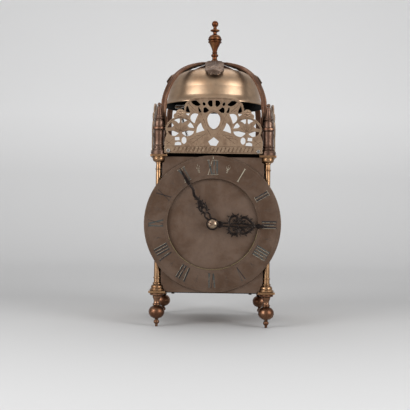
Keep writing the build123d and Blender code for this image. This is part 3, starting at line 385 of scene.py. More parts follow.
def strip(work, start, stop, wide_start, wide_stop, back, front, finish=0):
    """A flat strip between two (x, z) points, from depth back to depth front, with its own width at each end."""
    run = Vector((stop[0] - start[0], 0, stop[1] - start[1]))
    made = bmesh.ops.create_cube(work, size=1)["verts"]
    for wide, side in ((wide_start, -1), (wide_stop, 1)):
        bmesh.ops.scale(work, vec=(wide, abs(front - back), run.length),
                        verts=[v for v in made if v.co.z * side > 0])
    middle = Vector(((start[0] + stop[0]) / 2, (back + front) / 2, (start[1] + stop[1]) / 2))
    shift(work, made, Matrix.Translation(middle) @ Matrix.Rotation(math.atan2(run.x, run.z), 4, "Y"))
    paint(made, finish)
    return made


def wire(work, points, depth, flat=1.0, closed=False, sides=2, finish=0):
    """A rounded bar that follows (x, z, radius) points on a smooth curve at depth y, flattened front to back."""
    curve = bpy.data.curves.new("wire", "CURVE")
    curve.dimensions, curve.bevel_depth, curve.bevel_resolution, curve.use_fill_caps = "3D", 1.0, sides, True
    curve.resolution_u = 5
    spline = curve.splines.new("NURBS")
    spline.points.add(len(points) - 1)
    for point, (x, z, radius) in zip(spline.points, points):
        point.co = (x, 0, z, 1)
        point.radius = radius
    spline.use_cyclic_u = closed
    spline.order_u = min(4, len(points))
    spline.use_endpoint_u = not closed
    holder = bpy.data.objects.new("wire", curve)
    scene.collection.objects.link(holder)
    bpy.context.view_layer.update()
    mesh = bpy.data.meshes.new_from_object(holder.evaluated_get(bpy.context.evaluated_depsgraph_get()))
    bpy.data.objects.remove(holder)
    bpy.data.curves.remove(curve)
    before = set(work.verts)
    work.from_mesh(mesh)
    bpy.data.meshes.remove(mesh)
    made = [vert for vert in work.verts if vert not in before]
    bmesh.ops.scale(work, vec=(1, flat, 1), verts=made)
    bmesh.ops.translate(work, vec=(0, depth, 0), verts=made)
    paint(made, finish)
    return made


def dome(work, place, radius, high, rings, around):
    """A flattened ball, centred on a place, whose front half bulges towards -Y."""
    made = bmesh.ops.create_uvsphere(work, u_segments=around, v_segments=rings * 2, radius=1)["verts"]
    bmesh.ops.scale(work, vec=(radius, high, radius), verts=made)
    bmesh.ops.translate(work, vec=place, verts=made)
    return made


DISC_SIDES = 40


def disc(work, place, radius, thick, finish=0):
    """A flat round boss whose axis is Y, centred on a place."""
    made = bmesh.ops.create_cone(work, cap_ends=True, segments=DISC_SIDES, radius1=radius, radius2=radius,
                                 depth=thick)["verts"]
    shift(work, made, Matrix.Translation(place) @ Matrix.Rotation(math.radians(90), 4, "X"))
    paint(made, finish)
    return made


BLADE_BEVEL = 0.35


def blade(work, half, back, front):
    """A flat plate from depth back to depth front, with a soft front edge; half is the right of its outline."""
    outline = half + [(-x, z) for x, z in reversed(half)]
    verts = [work.verts.new((x, back, z)) for x, z in outline]
    face = work.faces.new(verts)
    grown = bmesh.ops.extrude_face_region(work, geom=[face])["geom"]
    outer = [v for v in grown if isinstance(v, bmesh.types.BMVert)]
    bmesh.ops.translate(work, vec=(0, front - back, 0), verts=outer)
    cap = [f for f in grown if isinstance(f, bmesh.types.BMFace)]
    bmesh.ops.bevel(work, geom=list(cap[0].edges), offset=BLADE_BEVEL, offset_type="OFFSET", segments=2,
                    profile=0.5, affect="EDGES", material=-1, clamp_overlap=True)


# ---------------------------------------------------------------- more finishes

PATCH_SCALE, PATCH_EDGE = 260.0, 0.06


def cut_line(name, fill, worn, share, rough=0.6, metallic=0.3):
    """What fills an engraved line: wax or bare metal, worn away in patches to the colour round it; the same makes
    painted highlights and the painted shade in screw slots.
    """
    made = bpy.data.materials.new(name)
    made.use_nodes = True
    tree = made.node_tree
    shader = tree.nodes["Principled BSDF"]
    shader.inputs["Metallic"].default_value = metallic
    shader.inputs["Roughness"].default_value = rough
    where = put(tree, "ShaderNodeTexCoord").outputs["Object"]
    patches = noise(tree, where, PATCH_SCALE, 4.0, 0.6)
    gone = spread(tree, patches, share - PATCH_EDGE, share + PATCH_EDGE)
    tree.links.new(blend_colours(tree, gone, tone(*fill), tone(*worn)), shader.inputs["Base Color"])
    return made


# Black wax in the numerals' cuts; the same black is the painted shade in the screw slots
black_wax_and_shade = cut_line("black_wax_and_shade", (26, 23, 24), (74, 60, 52), 0.62)
green_wax = cut_line("green_wax", (56, 60, 58), (88, 78, 68), 0.55)
# Bare metal in worn cuts; the same finish makes the painted highlights beside broad strokes
bright_cut_and_glint = cut_line("bright_cut_and_glint", (206, 198, 176), (128, 112, 94), 0.56, rough=0.3, metallic=0.9)
faint_line = cut_line("faint_line", (66, 54, 46), (86, 71, 60), 0.5)
# The colour of the painted highlight on the chapter ring's lower inner edge
olive_highlight = cut_line("olive_highlight", (128, 116, 80), (98, 86, 66), 0.55, rough=0.4, metallic=0.8)
fret_line = cut_line("fret_line", (88, 70, 56), (128, 106, 86), 0.52, rough=0.5, metallic=0.8)


# ---------------------------------------------------------------- chapter ring: numerals, half-hour marks, lines

NUMERAL_FOOT, NUMERAL_TOP = 61.2, 78.8
CUT_BACK, CUT_FRONT = RING_FACE_Y + 0.2, RING_FACE_Y - 0.08
NUMERALS = ("XII", "I", "II", "III", "IIII", "V", "VI", "VII", "VIII", "IX", "X", "XI")
THICK, THIN, SERIF, SERIF_OUT = 1.9, 0.55, 0.5, 0.7
# Single letters are cut with slimmer broad strokes
SLIM = 0.55
ADVANCE = {"I": 3.6, "V": 6.2, "X": 6.0}
V_HALF, X_HALF = 2.2, 2.3
# The painted highlight beside a broad stroke, where light would catch the cut's wall: its width, its gap to the
# stroke's edge, and how much shorter it is
GLINT_WIDE, GLINT_GAP, GLINT_SHORT = 0.28, 0.14, 0.6
# Places in the numerals' list of finishes
BLACK, GREEN, BRIGHT = 0, 1, 2
# For each hour: what fills its broad strokes, what fills its hairlines, and whether a painted highlight shows beside
# its broad strokes
WEAR_AND_GLINT = {
    "XII": (GREEN, BRIGHT, False), "I": (BRIGHT, BRIGHT, False), "II": (BLACK, BRIGHT, True),
    "III": (BLACK, BLACK, True), "IIII": (GREEN, BLACK, True), "V": (BLACK, GREEN, False),
    "VI": (GREEN, BLACK, False), "VII": (BLACK, GREEN, True), "VIII": (BLACK, GREEN, True),
    "IX": (GREEN, BLACK, False), "X": (BLACK, BLACK, False), "XI": (GREEN, BRIGHT, False),
}


def about_dial(clockwise):
    """A turn about the hands' arbor, from twelve o'clock."""
    centre = Matrix.Translation((0, 0, DIAL_Z))
    return centre @ Matrix.Rotation(math.radians(clockwise), 4, "Y")


def draw_numeral(work, text, hour):
    """Engrave one numeral, its feet towards the centre."""
    broad, hair, glint = WEAR_AND_GLINT[text]
    verts = []
    left = -sum(ADVANCE[letter] for letter in text) / 2
    low, high = NUMERAL_FOOT, NUMERAL_TOP
    slim = SLIM if text in ("I", "V", "X") else 1.0
    for letter in text:
        at = left + ADVANCE[letter] / 2
        left += ADVANCE[letter]
        if letter == "I":
            strokes = [(at, low, at, high, THICK * slim, broad)]
        elif letter == "V":
            strokes = [(at, low, at - V_HALF, high, THICK * slim, broad),
                       (at, low, at + V_HALF, high, THIN, hair)]
        else:
            strokes = [(at + X_HALF, low, at - X_HALF, high, THICK * slim, broad),
                       (at - X_HALF, low, at + X_HALF, high, THIN, hair)]
        for foot_x, foot_z, head_x, head_z, wide, fill in strokes:
            verts += strip(work, (foot_x, foot_z), (head_x, head_z), wide, wide, CUT_BACK, CUT_FRONT, fill)
            # A painted highlight beside the broad stroke, where light would catch the cut's wall
            if glint and wide > THIN:
                beside = wide / 2 + GLINT_GAP
                verts += strip(work, (foot_x + beside, foot_z + GLINT_SHORT),
                               (head_x + beside, head_z - GLINT_SHORT), GLINT_WIDE, GLINT_WIDE,
                               CUT_BACK, CUT_FRONT - 0.01, BRIGHT)
            for end_x, end_z in ((foot_x, foot_z), (head_x, head_z)):
                if letter == "V" and end_z == low:
                    continue
                reach = wide / 2 + SERIF_OUT
                verts += strip(work, (end_x - reach, end_z), (end_x + reach, end_z), SERIF, SERIF,
                               CUT_BACK, CUT_FRONT + 0.01, hair)
    shift(work, verts, about_dial(30 * hour))


HALF_HOUR_FOOT = 66.4
# The strokes of a half-hour mark above its foot: (x, z) ends, and the width at each
HALF_HOUR_STROKES = (
    ((0, 0), (0, 9.6), 0.6, 0.3), ((0, 2.6), (-2.0, 5.2), 0.5, 0.45), ((-2.0, 5.2), (-2.1, 7.6), 0.45, 0.2),
    ((0, 2.6), (2.0, 5.2), 0.5, 0.45), ((2.0, 5.2), (2.1, 7.6), 0.45, 0.2), ((-1.3, 2.0), (1.3, 2.0), 0.45, 0.45),
    ((-0.8, -0.6), (0.8, -0.6), 0.5, 0.5),
)


def draw_half_hour(work, turn, fill):
    """Engrave a small three-pointed flower between two numerals."""
    verts = []
    for *ends, wide_start, wide_stop in HALF_HOUR_STROKES:
        start, stop = ((x, HALF_HOUR_FOOT + z) for x, z in ends)
        verts += strip(work, start, stop, wide_start, wide_stop, CUT_BACK, CUT_FRONT, fill)
    shift(work, verts, about_dial(turn))


def draw_circle(work, radius, wide, back, front, around=120, begin=0.0, sweep=360.0):
    """A thin raised or inlaid ring round the dial's centre, or an arc that begins clockwise from three."""
    verts = [work.verts.new((radius - wide / 2, back, 0)), work.verts.new((radius + wide / 2, back, 0)),
             work.verts.new((radius + wide / 2, front, 0)), work.verts.new((radius - wide / 2, front, 0))]
    face = work.faces.new(verts)
    before = set(work.verts) - set(verts)
    shift(work, verts, Matrix.Rotation(math.radians(begin), 4, "Y"))
    bmesh.ops.spin(work, geom=[face] + list(face.edges) + verts, cent=(0, 0, 0), axis=(0, 1, 0),
                   angle=math.radians(sweep), steps=around, use_merge=sweep == 360.0, use_duplicate=False)
    made = [vert for vert in work.verts if vert not in before]
    if face.is_valid and sweep == 360.0:
        bmesh.ops.delete(work, geom=[face], context="FACES_ONLY")
    made = [vert for vert in made if vert.is_valid]
    bmesh.ops.translate(work, vec=(0, 0, DIAL_Z), verts=made)


# The bright tick over the twelve, which narrows upwards
TICK = ((0, 80.4), (0, 84.0), 0.9, 0.6)
numerals = bmesh.new()
for hour, text in enumerate(NUMERALS):
    draw_numeral(numerals, text, hour)
shift(numerals, strip(numerals, *TICK, CUT_BACK, CUT_FRONT, BRIGHT), about_dial(0))
finish_piece(numerals, "numerals", [black_wax_and_shade, green_wax, bright_cut_and_glint], "frame")

# The marks either side of twelve are the bright ones
BRIGHT_GAPS = (0, 11)
half_hours = bmesh.new()
for gap in range(12):
    draw_half_hour(half_hours, 15 + 30 * gap, int(gap in BRIGHT_GAPS))
finish_piece(half_hours, "half_hour_marks", [faint_line, bright_cut_and_glint], "frame")

# The quarter-hour track lies between the two inner lines, four divisions to the hour
RING_LINES, LINE_WIDE, LINE_FRONT = (57.4, 60.2, 80.6, 83.6), 0.3, RING_FACE_Y - 0.03
TRACK_DIVISIONS = 48
ring_lines = bmesh.new()
for radius in RING_LINES:
    draw_circle(ring_lines, radius, LINE_WIDE, CUT_BACK, LINE_FRONT)
for division in range(TRACK_DIVISIONS):
    mark = strip(ring_lines, (0, RING_LINES[0]), (0, RING_LINES[1]), LINE_WIDE, LINE_WIDE, CUT_BACK, LINE_FRONT)
    shift(ring_lines, mark, about_dial(360 / TRACK_DIVISIONS * division))
finish_piece(ring_lines, "ring_lines", faint_line, "frame")

# A painted highlight on the lower half of the ring's inner edge, where the lamp above lights it
LIP_RADIUS, LIP_WIDE, LIP_BEGIN, LIP_SWEEP = 56.2, 0.5, 12, 150
ring_lip_highlight = bmesh.new()
draw_circle(ring_lip_highlight, LIP_RADIUS, LIP_WIDE, RING_FACE_Y + 0.6, RING_FACE_Y - 0.04, around=60, begin=LIP_BEGIN,
            sweep=LIP_SWEEP)
finish_piece(ring_lip_highlight, "ring_lip_highlight", olive_highlight, "frame")

# ---------------------------------------------------------------- hands

HAND_THICK, HOUR_EYE, MINUTE_EYE = 1.2, 7.4, 6.0
SCROLL_FLAT, STEM_FLAT, POINTER_INSET = 0.6, 0.5, 0.1
THORN_TIP, THORN_HALF = 0.3, 0.45


def both_sides(work, points, depth):
    """A scroll and its mirror image."""
    for side in (1, -1):
        wire(work, [(side * x, z, radius) for x, z, radius in points], depth, SCROLL_FLAT)


def thorns(work, depth, tips):
    """Small leaf tips on both sides of the scrolls: where each starts, its point and its width."""
    for foot_x, foot_z, tip_x, tip_z, wide in tips:
        for side in (1, -1):
            strip(work, (foot_x * side, foot_z), (tip_x * side, tip_z), wide, THORN_TIP, depth + THORN_HALF,
                  depth - THORN_HALF)


def draw_hand(y, turn, eye, neck, scrolls, tips, stem, pointer):
    """One forged hand, drawn upright about the arbor and then turned; y is the depth of its back."""
    work = bmesh.new()
    depth = y - HAND_THICK / 2
    disc(work, (0, depth, 0), eye, HAND_THICK)
    if neck:
        blade(work, neck, y, y - HAND_THICK)
    for path in scrolls:
        both_sides(work, path, depth)
    thorns(work, depth, tips)
    if stem:
        wire(work, stem, depth, STEM_FLAT)
    blade(work, pointer, y - POINTER_INSET, y - HAND_THICK + POINTER_INSET)
    shift(work, work.verts[:], about_dial(turn))
    return work


# Scrolls and stems are (x, z, radius) points on a curve, necks and pointers the right half of an (x, z) outline
HOUR_NECK = [(3.4, 5.5), (4.4, 9.0), (2.8, 13.0)]
HOUR_SCROLLS = (
    [(2.3, 11.0, 1.1), (1.7, 14.0, 1.0), (1.9, 18.0, 1.0), (2.4, 22.0, 1.1)],
    [(1.4, 20.6, 1.3), (6.0, 19.8, 1.5), (11.0, 22.8, 1.7), (11.8, 29.0, 1.6), (8.2, 32.0, 1.5), (4.6, 30.2, 1.3),
     (4.8, 26.4, 1.2), (7.6, 26.2, 1.1)],
    [(0.8, 52.0, 1.2), (4.2, 47.8, 1.4), (9.0, 43.6, 1.6), (10.8, 37.8, 1.6), (8.2, 34.4, 1.4), (4.8, 35.8, 1.3),
     (4.8, 39.6, 1.2), (7.2, 40.0, 1.1)],
    [(0.4, 21.0, 1.3), (2.6, 25.4, 1.2), (1.2, 31.0, 1.2), (3.4, 35.0, 1.2), (1.6, 42.0, 1.3), (0.4, 51.0, 1.2)],
    [(0.3, 30.0, 1.2), (4.0, 33.2, 1.2), (9.0, 33.4, 1.2)],
)
HOUR_THORNS = (
    (9.0, 21.4, 11.4, 17.6, 2.8), (11.8, 25.6, 15.4, 23.6, 3.0), (12.2, 30.4, 15.0, 31.8, 2.8),
    (10.6, 34.2, 13.8, 35.8, 2.6), (10.6, 40.6, 13.4, 43.6, 2.6), (7.4, 45.4, 9.2, 49.6, 2.4),
    (5.2, 20.8, 6.2, 17.0, 2.4), (3.4, 26.4, 6.4, 24.0, 2.0), (3.0, 44.4, 5.6, 42.0, 2.0),
    (4.2, 48.2, 5.2, 52.0, 2.0), (2.6, 38.6, 5.6, 37.4, 2.0), (6.8, 29.4, 8.8, 28.6, 2.2),
)
HOUR_POINTER = [(1.9, 49.5), (1.4, 53.4), (3.3, 56.8), (1.7, 60.0), (0.4, 67.6)]
hour_hand = draw_hand(HOUR_Y, HOUR_TURN, HOUR_EYE, HOUR_NECK, HOUR_SCROLLS, HOUR_THORNS, None, HOUR_POINTER)
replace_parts(finish_piece(hour_hand, "hour_hand_forged", finishes["hand_steel"], "hour"),
            "hour_hand")

MINUTE_SCROLLS = (
    [(2.2, 4.6, 1.3), (1.2, 7.4, 1.3), (3.4, 10.2, 1.1), (3.5, 13.6, 1.1), (0.8, 16.4, 1.3)],
    [(0.4, 15.6, 1.4), (3.8, 18.4, 1.4), (3.2, 22.6, 1.3), (-1.2, 25.6, 1.3), (-3.4, 29.4, 1.2), (-1.0, 33.4, 1.2),
     (1.4, 37.0, 1.1)],
    [(3.6, 19.8, 1.3), (5.6, 23.0, 1.3), (4.2, 26.0, 1.2), (2.6, 28.8, 1.2)],
    [(0.4, 22.0, 1.4), (0.9, 28.0, 1.4), (0.4, 34.0, 1.4)],
)
MINUTE_THORNS = (
    (3.8, 18.2, 6.8, 16.6, 2.4), (4.6, 25.4, 7.2, 28.4, 2.2), (3.2, 30.6, 5.8, 32.2, 2.0),
    (1.8, 35.6, 4.0, 38.2, 1.8),
)
MINUTE_STEM = [(0.8, 33.6, 1.9), (-1.4, 38.6, 1.9), (-1.8, 43.0, 1.7), (0.9, 47.0, 1.6), (1.3, 51.0, 1.5),
               (0, 55.4, 1.6)]
MINUTE_POINTER = [(0.9, 53.6), (2.3, 58.4), (2.1, 64.0), (1.4, 72.0), (0.35, 80.0)]
minute_hand = draw_hand(MINUTE_Y, MINUTE_TURN, MINUTE_EYE, None, MINUTE_SCROLLS, MINUTE_THORNS, MINUTE_STEM,
                        MINUTE_POINTER)
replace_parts(finish_piece(minute_hand, "minute_hand_forged", finishes["hand_steel"], "minute"),
            "minute_hand")

# ---------------------------------------------------------------- the nut that holds the hands, on its dark collar

NUT_Y, NUT_RADIUS, NUT_HIGH, COLLAR_RADIUS, COLLAR_THICK = -82.6, 6.0, 3.5, 7.6, 1.0
# The slot's half length, half its fall from left to right, and its width
SLOT_HALF, SLOT_FALL, SLOT_WIDE = 4.6, 1.6, 0.9
nut = bmesh.new()
disc(nut, (0, NUT_Y + 0.3, DIAL_Z), COLLAR_RADIUS, COLLAR_THICK, finish=1)
dome(nut, (0, NUT_Y, DIAL_Z), NUT_RADIUS, NUT_HIGH, rings=8, around=32)
# The slot: a dark strip in front of the nut, painted shade in place of a cut
strip(nut, (-SLOT_HALF, DIAL_Z + SLOT_FALL), (SLOT_HALF, DIAL_Z - SLOT_FALL), SLOT_WIDE, SLOT_WIDE,
      NUT_Y - 2.0, NUT_Y - 3.3, finish=1)
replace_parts(finish_piece(nut, "nut_on_collar", [finishes["nut_brass"], finishes["hand_steel"]], "minute"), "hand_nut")

# ---------------------------------------------------------------- frets: rope band, flower lines, rosettes, veins

FRET_LINE = FRET_Y - 0.12
# The heights below are drawn for a fret that stands this much higher than the finished one
ENGRAVING_DROP = 1.6
# The rope band: its two border lines, half its length, half the gap under the pointed opening, and its twists
BAND_LOW, BAND_HIGH, BAND_HALF, BAND_GAP = (217.6, 218.1), (225.0, 225.5), 58.6, 7.6
TWISTS, TWIST_START, TWIST_STEP, TWIST_LEAN = 43, -50.4, 2.4, 1.1
TWIST_LOW, TWIST_TOP, TWIST_WIDE, TWIST_PROUD = 218.8, 224.2, 1.0, 0.4
# The flower on each side: the centre of its ring and the ring's half width and height, and its petals' root
FLOWER_X, FLOWER_Z, FLOWER_WIDE, FLOWER_TALL, PETAL_Z = 40.8, 246.3, 17.4, 14.2, 242.6
RING_FIRST, RING_SWEEP, RING_STEPS = -28, 236, 15
PETAL_START, PETAL_FOOT, PETAL_TIP = 1.6, 0.75, 0.25
# Each petal line's direction in degrees and its reach
PETALS = ((12, 13.5), (38, 9.5), (62, 9.0), (90, 9.4), (118, 9.0), (142, 9.5), (168, 13.5))
# The rosette over it: its centre, its lobes and how far out they sit, and radius and bulge of lobes and heart
ROSETTE_X, ROSETTE_Z, ROSETTE_LOBES, ROSETTE_WIDE, ROSETTE_TALL = 41.4, 266.2, 8, 3.5, 3.3
LOBE_RADIUS, LOBE_BULGE, HEART_RADIUS, HEART_BULGE = 1.35, 0.75, 1.9, 1.1
# The line round the egg-shaped opening in the middle, wider above than below by the lean
EGG_Z, EGG_WIDE, EGG_UP, EGG_DOWN, EGG_STEPS, EGG_LEAN = 257.4, 9.3, 11.8, 11.2, 20, 0.06
# Radii of the raised lines, how flat they are, and how deep the engraving starts in the sheet
FLOWER_LINE, EGG_LINE, CREST_LINE = 0.42, 0.4, 0.35
FLOWER_FLAT, LINE_FLAT, SUNK = 0.7, 0.6, 0.3
# The right half of the line that follows the crest, from its top
CREST = ((0, 284.9), (12.0, 284.6), (23.6, 283.2), (31.4, 279.6), (34.6, 274.6), (35.2, 267.4))
# Veins of the sprays on the right, as (x, z, radius)
VEINS = (
    [(10.0, 240.6, 0.3), (17.0, 236.4, 0.35), (27.0, 228.4, 0.3)],
    [(14.0, 239.0, 0.3), (19.0, 239.4, 0.3), (24.0, 236.8, 0.25)],
    [(18.6, 235.4, 0.3), (24.0, 236.2, 0.3), (29.0, 233.4, 0.25)],
    [(13.4, 238.2, 0.3), (15.0, 233.0, 0.3), (14.0, 228.2, 0.25)],
    [(19.4, 234.6, 0.3), (21.0, 230.6, 0.3), (20.6, 227.0, 0.25)],
    [(9.6, 250.0, 0.35), (12.0, 258.0, 0.4), (16.6, 266.6, 0.35)],
    [(8.6, 247.0, 0.3), (6.0, 243.6, 0.35), (3.4, 238.6, 0.3)],
    [(22.0, 248.6, 0.3), (21.0, 252.4, 0.35), (18.4, 262.0, 0.3)],
    [(21.0, 268.6, 0.3), (26.4, 271.8, 0.35), (31.0, 278.2, 0.3)],
    [(24.4, 268.0, 0.3), (28.0, 270.4, 0.3)],
    [(49.6, 233.6, 0.3), (54.0, 231.0, 0.35), (57.6, 227.2, 0.3)],
    [(51.0, 227.0, 0.3), (54.4, 229.4, 0.3), (58.4, 231.6, 0.3)],
)


def fret_engraving():
    """All that is cut or raised on one fret, drawn on the front one."""
    work = bmesh.new()
    back = FRET_Y + SUNK
    for (low, high), start, stop in (
        (BAND_LOW, -BAND_HALF, BAND_HALF), (BAND_HIGH, -BAND_HALF, -BAND_GAP), (BAND_HIGH, BAND_GAP, BAND_HALF),
    ):
        middle = (low + high) / 2
        strip(work, (start, middle), (stop, middle), high - low, high - low, back, FRET_LINE, 1)
    for twist in range(TWISTS):
        at = TWIST_START + TWIST_STEP * twist
        strip(work, (at - TWIST_LEAN, TWIST_LOW), (at + TWIST_LEAN, TWIST_TOP), TWIST_WIDE, TWIST_WIDE, back,
              FRET_Y - TWIST_PROUD, twist % 2)
    for side in (1, -1):
        ring = []
        for step in range(RING_STEPS + 1):
            turn = math.radians(RING_FIRST + RING_SWEEP / RING_STEPS * step)
            x, z = FLOWER_X + FLOWER_WIDE * math.cos(turn), FLOWER_Z + FLOWER_TALL * math.sin(turn)
            ring.append((side * x, z, FLOWER_LINE))
        wire(work, ring, FRET_Y, FLOWER_FLAT, sides=1, finish=1)
        for turn, reach in PETALS:
            turn = math.radians(turn)
            root, tip = ((side * (FLOWER_X + far * math.cos(turn)), PETAL_Z + far * math.sin(turn))
                         for far in (PETAL_START, reach))
            strip(work, root, tip, PETAL_FOOT, PETAL_TIP, back, FRET_LINE, 1)
        for step in range(ROSETTE_LOBES):
            turn = math.radians(360 / ROSETTE_LOBES * step)
            x, z = ROSETTE_X + ROSETTE_WIDE * math.cos(turn), ROSETTE_Z + ROSETTE_TALL * math.sin(turn)
            dome(work, (side * x, FRET_Y, z), LOBE_RADIUS, LOBE_BULGE, rings=3, around=10)
        dome(work, (side * ROSETTE_X, FRET_Y, ROSETTE_Z), HEART_RADIUS, HEART_BULGE, rings=3, around=12)
        for vein in VEINS:
            wire(work, [(side * x, z, radius) for x, z, radius in vein], FRET_Y, LINE_FLAT, sides=1, finish=1)
    egg = []
    for step in range(EGG_STEPS):
        turn = math.radians(360 / EGG_STEPS * step)
        tall = EGG_UP if math.sin(turn) > 0 else EGG_DOWN
        x = EGG_WIDE * math.cos(turn) * (1 + EGG_LEAN * math.sin(turn))
        egg.append((x, EGG_Z + tall * math.sin(turn), EGG_LINE))
    wire(work, egg, FRET_Y, LINE_FLAT, closed=True, sides=1, finish=1)
    whole_crest = [(-x, z) for x, z in reversed(CREST[1:])] + list(CREST)
    wire(work, [(x, z, CREST_LINE) for x, z in whole_crest], FRET_Y, LINE_FLAT, sides=1, finish=1)
    return work


lowered = Matrix.Translation((0, 0, -ENGRAVING_DROP))
for side_name, turn in (("front", 0), ("right", 90), ("left", -90)):
    work = fret_engraving()
    shift(work, work.verts[:], Matrix.Rotation(math.radians(turn), 4, "Z") @ lowered)
    finish_piece(work, f"{side_name}_fret_engraving", [finishes["fret_brass"], fret_line], "frame")

# ---------------------------------------------------------------- crown leaves

# The ball that the leaves lie on, and how far from its axis it is followed
CROWN_CENTRE, CROWN_RADIUS, CROWN_REACH = 256.2, 87.0, 84.0
LEAF_ROOT, LEAF_TIP, LEAF_STEPS, LEAF_ACROSS = 8.6, 62.6, 44, 22
# How far a leaf's plain surface lies below the ball, and its thickness
LEAF_SUNK, LEAF_THICK = 1.1, 1.5
HUB_LOW, HUB_HIGH, HUB_THICK, HUB_Z = 10.4, 9.2, 2.6, 341.7


# A leaf's half width at its neck and what the flare adds, and where along the leaf the flare and the lobes lie
NECK_WIDE, FLARE_WIDE, FLARE_START, FLARE_LONG = 5.6, 5.6, 10.0, 30.0
LOBE_DEEP, LOBE_START, LOBE_LONG = 1.0, 14.0, 15.5
TIP_OVER, TIP_LONG = 0.6, 5.0
# Its chasing: height and half width of the mid rib; height, pitch, slant and inner end of the side veins, and
# where they fade in; the cup of its edges; and height, place and length of the rolled tip and the hollow before it
RIB_HIGH, RIB_WIDE = 0.9, 0.13
VEIN_HIGH, VEIN_PITCH, VEIN_SLANT, VEIN_INNER, VEIN_START, VEIN_FADE = 0.55, 7.4, 14.4, 0.16, 8.0, 12.0
CUP_HIGH = 0.9
ROLL_HIGH, ROLL_AT, ROLL_LONG, ROLL_FALL = 2.4, 57.5, 3.6, 0.35
HOLLOW_DEEP, HOLLOW_AT, HOLLOW_LONG = 1.1, 51.0, 2.2


def leaf_width(reach):
    """Half the leaf's width at a distance from the crown's axis, with three lobes on each edge."""
    widening = min(1.0, max(0.0, (reach - FLARE_START) / FLARE_LONG))
    swell = NECK_WIDE + FLARE_WIDE * math.sin(math.radians(90 * widening)) ** 1.5
    lobes = LOBE_DEEP * abs(math.sin(math.radians((reach - LOBE_START) * 180 / LOBE_LONG)))
    blunt = min(1.0, max(0.0, (LEAF_TIP + TIP_OVER - reach) / TIP_LONG)) ** 0.5
    return (swell + lobes) * blunt


def leaf_relief(reach, share):
    """Height of the chasing over the leaf's plain surface: a mid rib, slanted side veins and a rolled tip."""
    rib = RIB_HIGH * math.exp(-(share / RIB_WIDE) ** 2)
    wave = math.sin(math.radians((reach - VEIN_SLANT * abs(share)) * 360 / VEIN_PITCH))
    veins = VEIN_HIGH * wave * (abs(share) > VEIN_INNER) * min(1.0, (reach - VEIN_START) / VEIN_FADE)
    cup = CUP_HIGH * share * share
    roll = ROLL_HIGH * math.exp(-((reach - ROLL_AT) / ROLL_LONG) ** 2) * (1 - ROLL_FALL * share * share)
    hollow = -HOLLOW_DEEP * math.exp(-((reach - HOLLOW_AT) / HOLLOW_LONG) ** 2)
    return rib + veins + cup + roll + hollow


leaves = bmesh.new()
for quarter in range(4):
    blank = bmesh.ops.create_grid(leaves, x_segments=LEAF_STEPS, y_segments=LEAF_ACROSS, size=1)["verts"]
    for vert in blank:
        reach = LEAF_ROOT + (vert.co.x + 1) / 2 * (LEAF_TIP - LEAF_ROOT)
        share = vert.co.y
        across = leaf_width(reach) * share
        far = math.hypot(reach, across)
        top = CROWN_CENTRE + math.sqrt(CROWN_RADIUS ** 2 - min(far, CROWN_REACH) ** 2)
        vert.co = (reach, across, top - LEAF_SUNK + leaf_relief(reach, share))
    faces = list({face for vert in blank for face in vert.link_faces})
    bmesh.ops.recalc_face_normals(leaves, faces=faces)
    if sum(face.normal.z for face in faces) < 0:
        bmesh.ops.reverse_faces(leaves, faces=faces)
    before = set(leaves.verts) - set(blank)
    bmesh.ops.solidify(leaves, geom=faces, thickness=LEAF_THICK)
    made = [vert for vert in leaves.verts if vert not in before]
    shift(leaves, made, Matrix.Rotation(math.radians(90 * quarter), 4, "Z"))
hub = bmesh.ops.create_cone(leaves, cap_ends=True, segments=40, radius1=HUB_LOW, radius2=HUB_HIGH,
                            depth=HUB_THICK)["verts"]
shift(leaves, hub, Matrix.Translation((0, 0, HUB_Z)))
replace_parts(finish_piece(leaves, "chased_crown_leaves", finishes["leaf_brass"], "frame", sharp=60),
            "crown_leaves")

# ---------------------------------------------------------------- strap mouldings: two ridges along each arm

STRAP_OUT, RIDGE_RADIUS, RIDGE_APART = 1.25, 0.75, 2.7
# The arm's two arcs from the crown outwards, as (reach, height) ends and the rise over the chord, and its foot
STRAP_STRETCHES = (((9.0, 338.6), (50.0, 329.0), 2.3), ((50.0, 329.0), (88.0, 282.5), 7.0))
STRAP_FOOT = (90.6, 267.0)


def along_arc(start, stop, sagitta, steps=8):
    """Points on an arc over its chord, moved out to the strap's outer face."""
    chord = Vector(stop) - Vector(start)
    radius = sagitta / 2 + chord.length ** 2 / (8 * sagitta)
    outward = Vector((-chord.y, chord.x)).normalized()
    centre = (Vector(start) + Vector(stop)) / 2 + outward * (sagitta - radius)
    half = math.asin(chord.length / 2 / radius)
    middle = math.atan2(outward.y, outward.x)
    turns = [middle + half - 2 * half * step / steps for step in range(steps + 1)]
    reach = radius + STRAP_OUT
    return [(centre.x + reach * math.cos(turn), centre.y + reach * math.sin(turn), RIDGE_RADIUS)
            for turn in turns]


ridges = bmesh.new()
ridge_path = along_arc(*STRAP_STRETCHES[0]) + along_arc(*STRAP_STRETCHES[1])[1:]
ridge_path.append((*STRAP_FOOT, RIDGE_RADIUS))
for quarter in range(4):
    for across in (-RIDGE_APART, RIDGE_APART):
        made = wire(ridges, ridge_path, across, sides=1)
        shift(ridges, made, Matrix.Rotation(math.radians(45 + 90 * quarter), 4, "Z"))
finish_piece(ridges, "strap_ridges", finishes["strap_brass"], "frame", sharp=60)

# ---------------------------------------------------------------- screw slots, black strips of painted shade in their cuts

SCREW_X, SCREW_Z, SLOT_REACH, SLOT_CUT = 55.4, 218.0, 1.7, 0.6
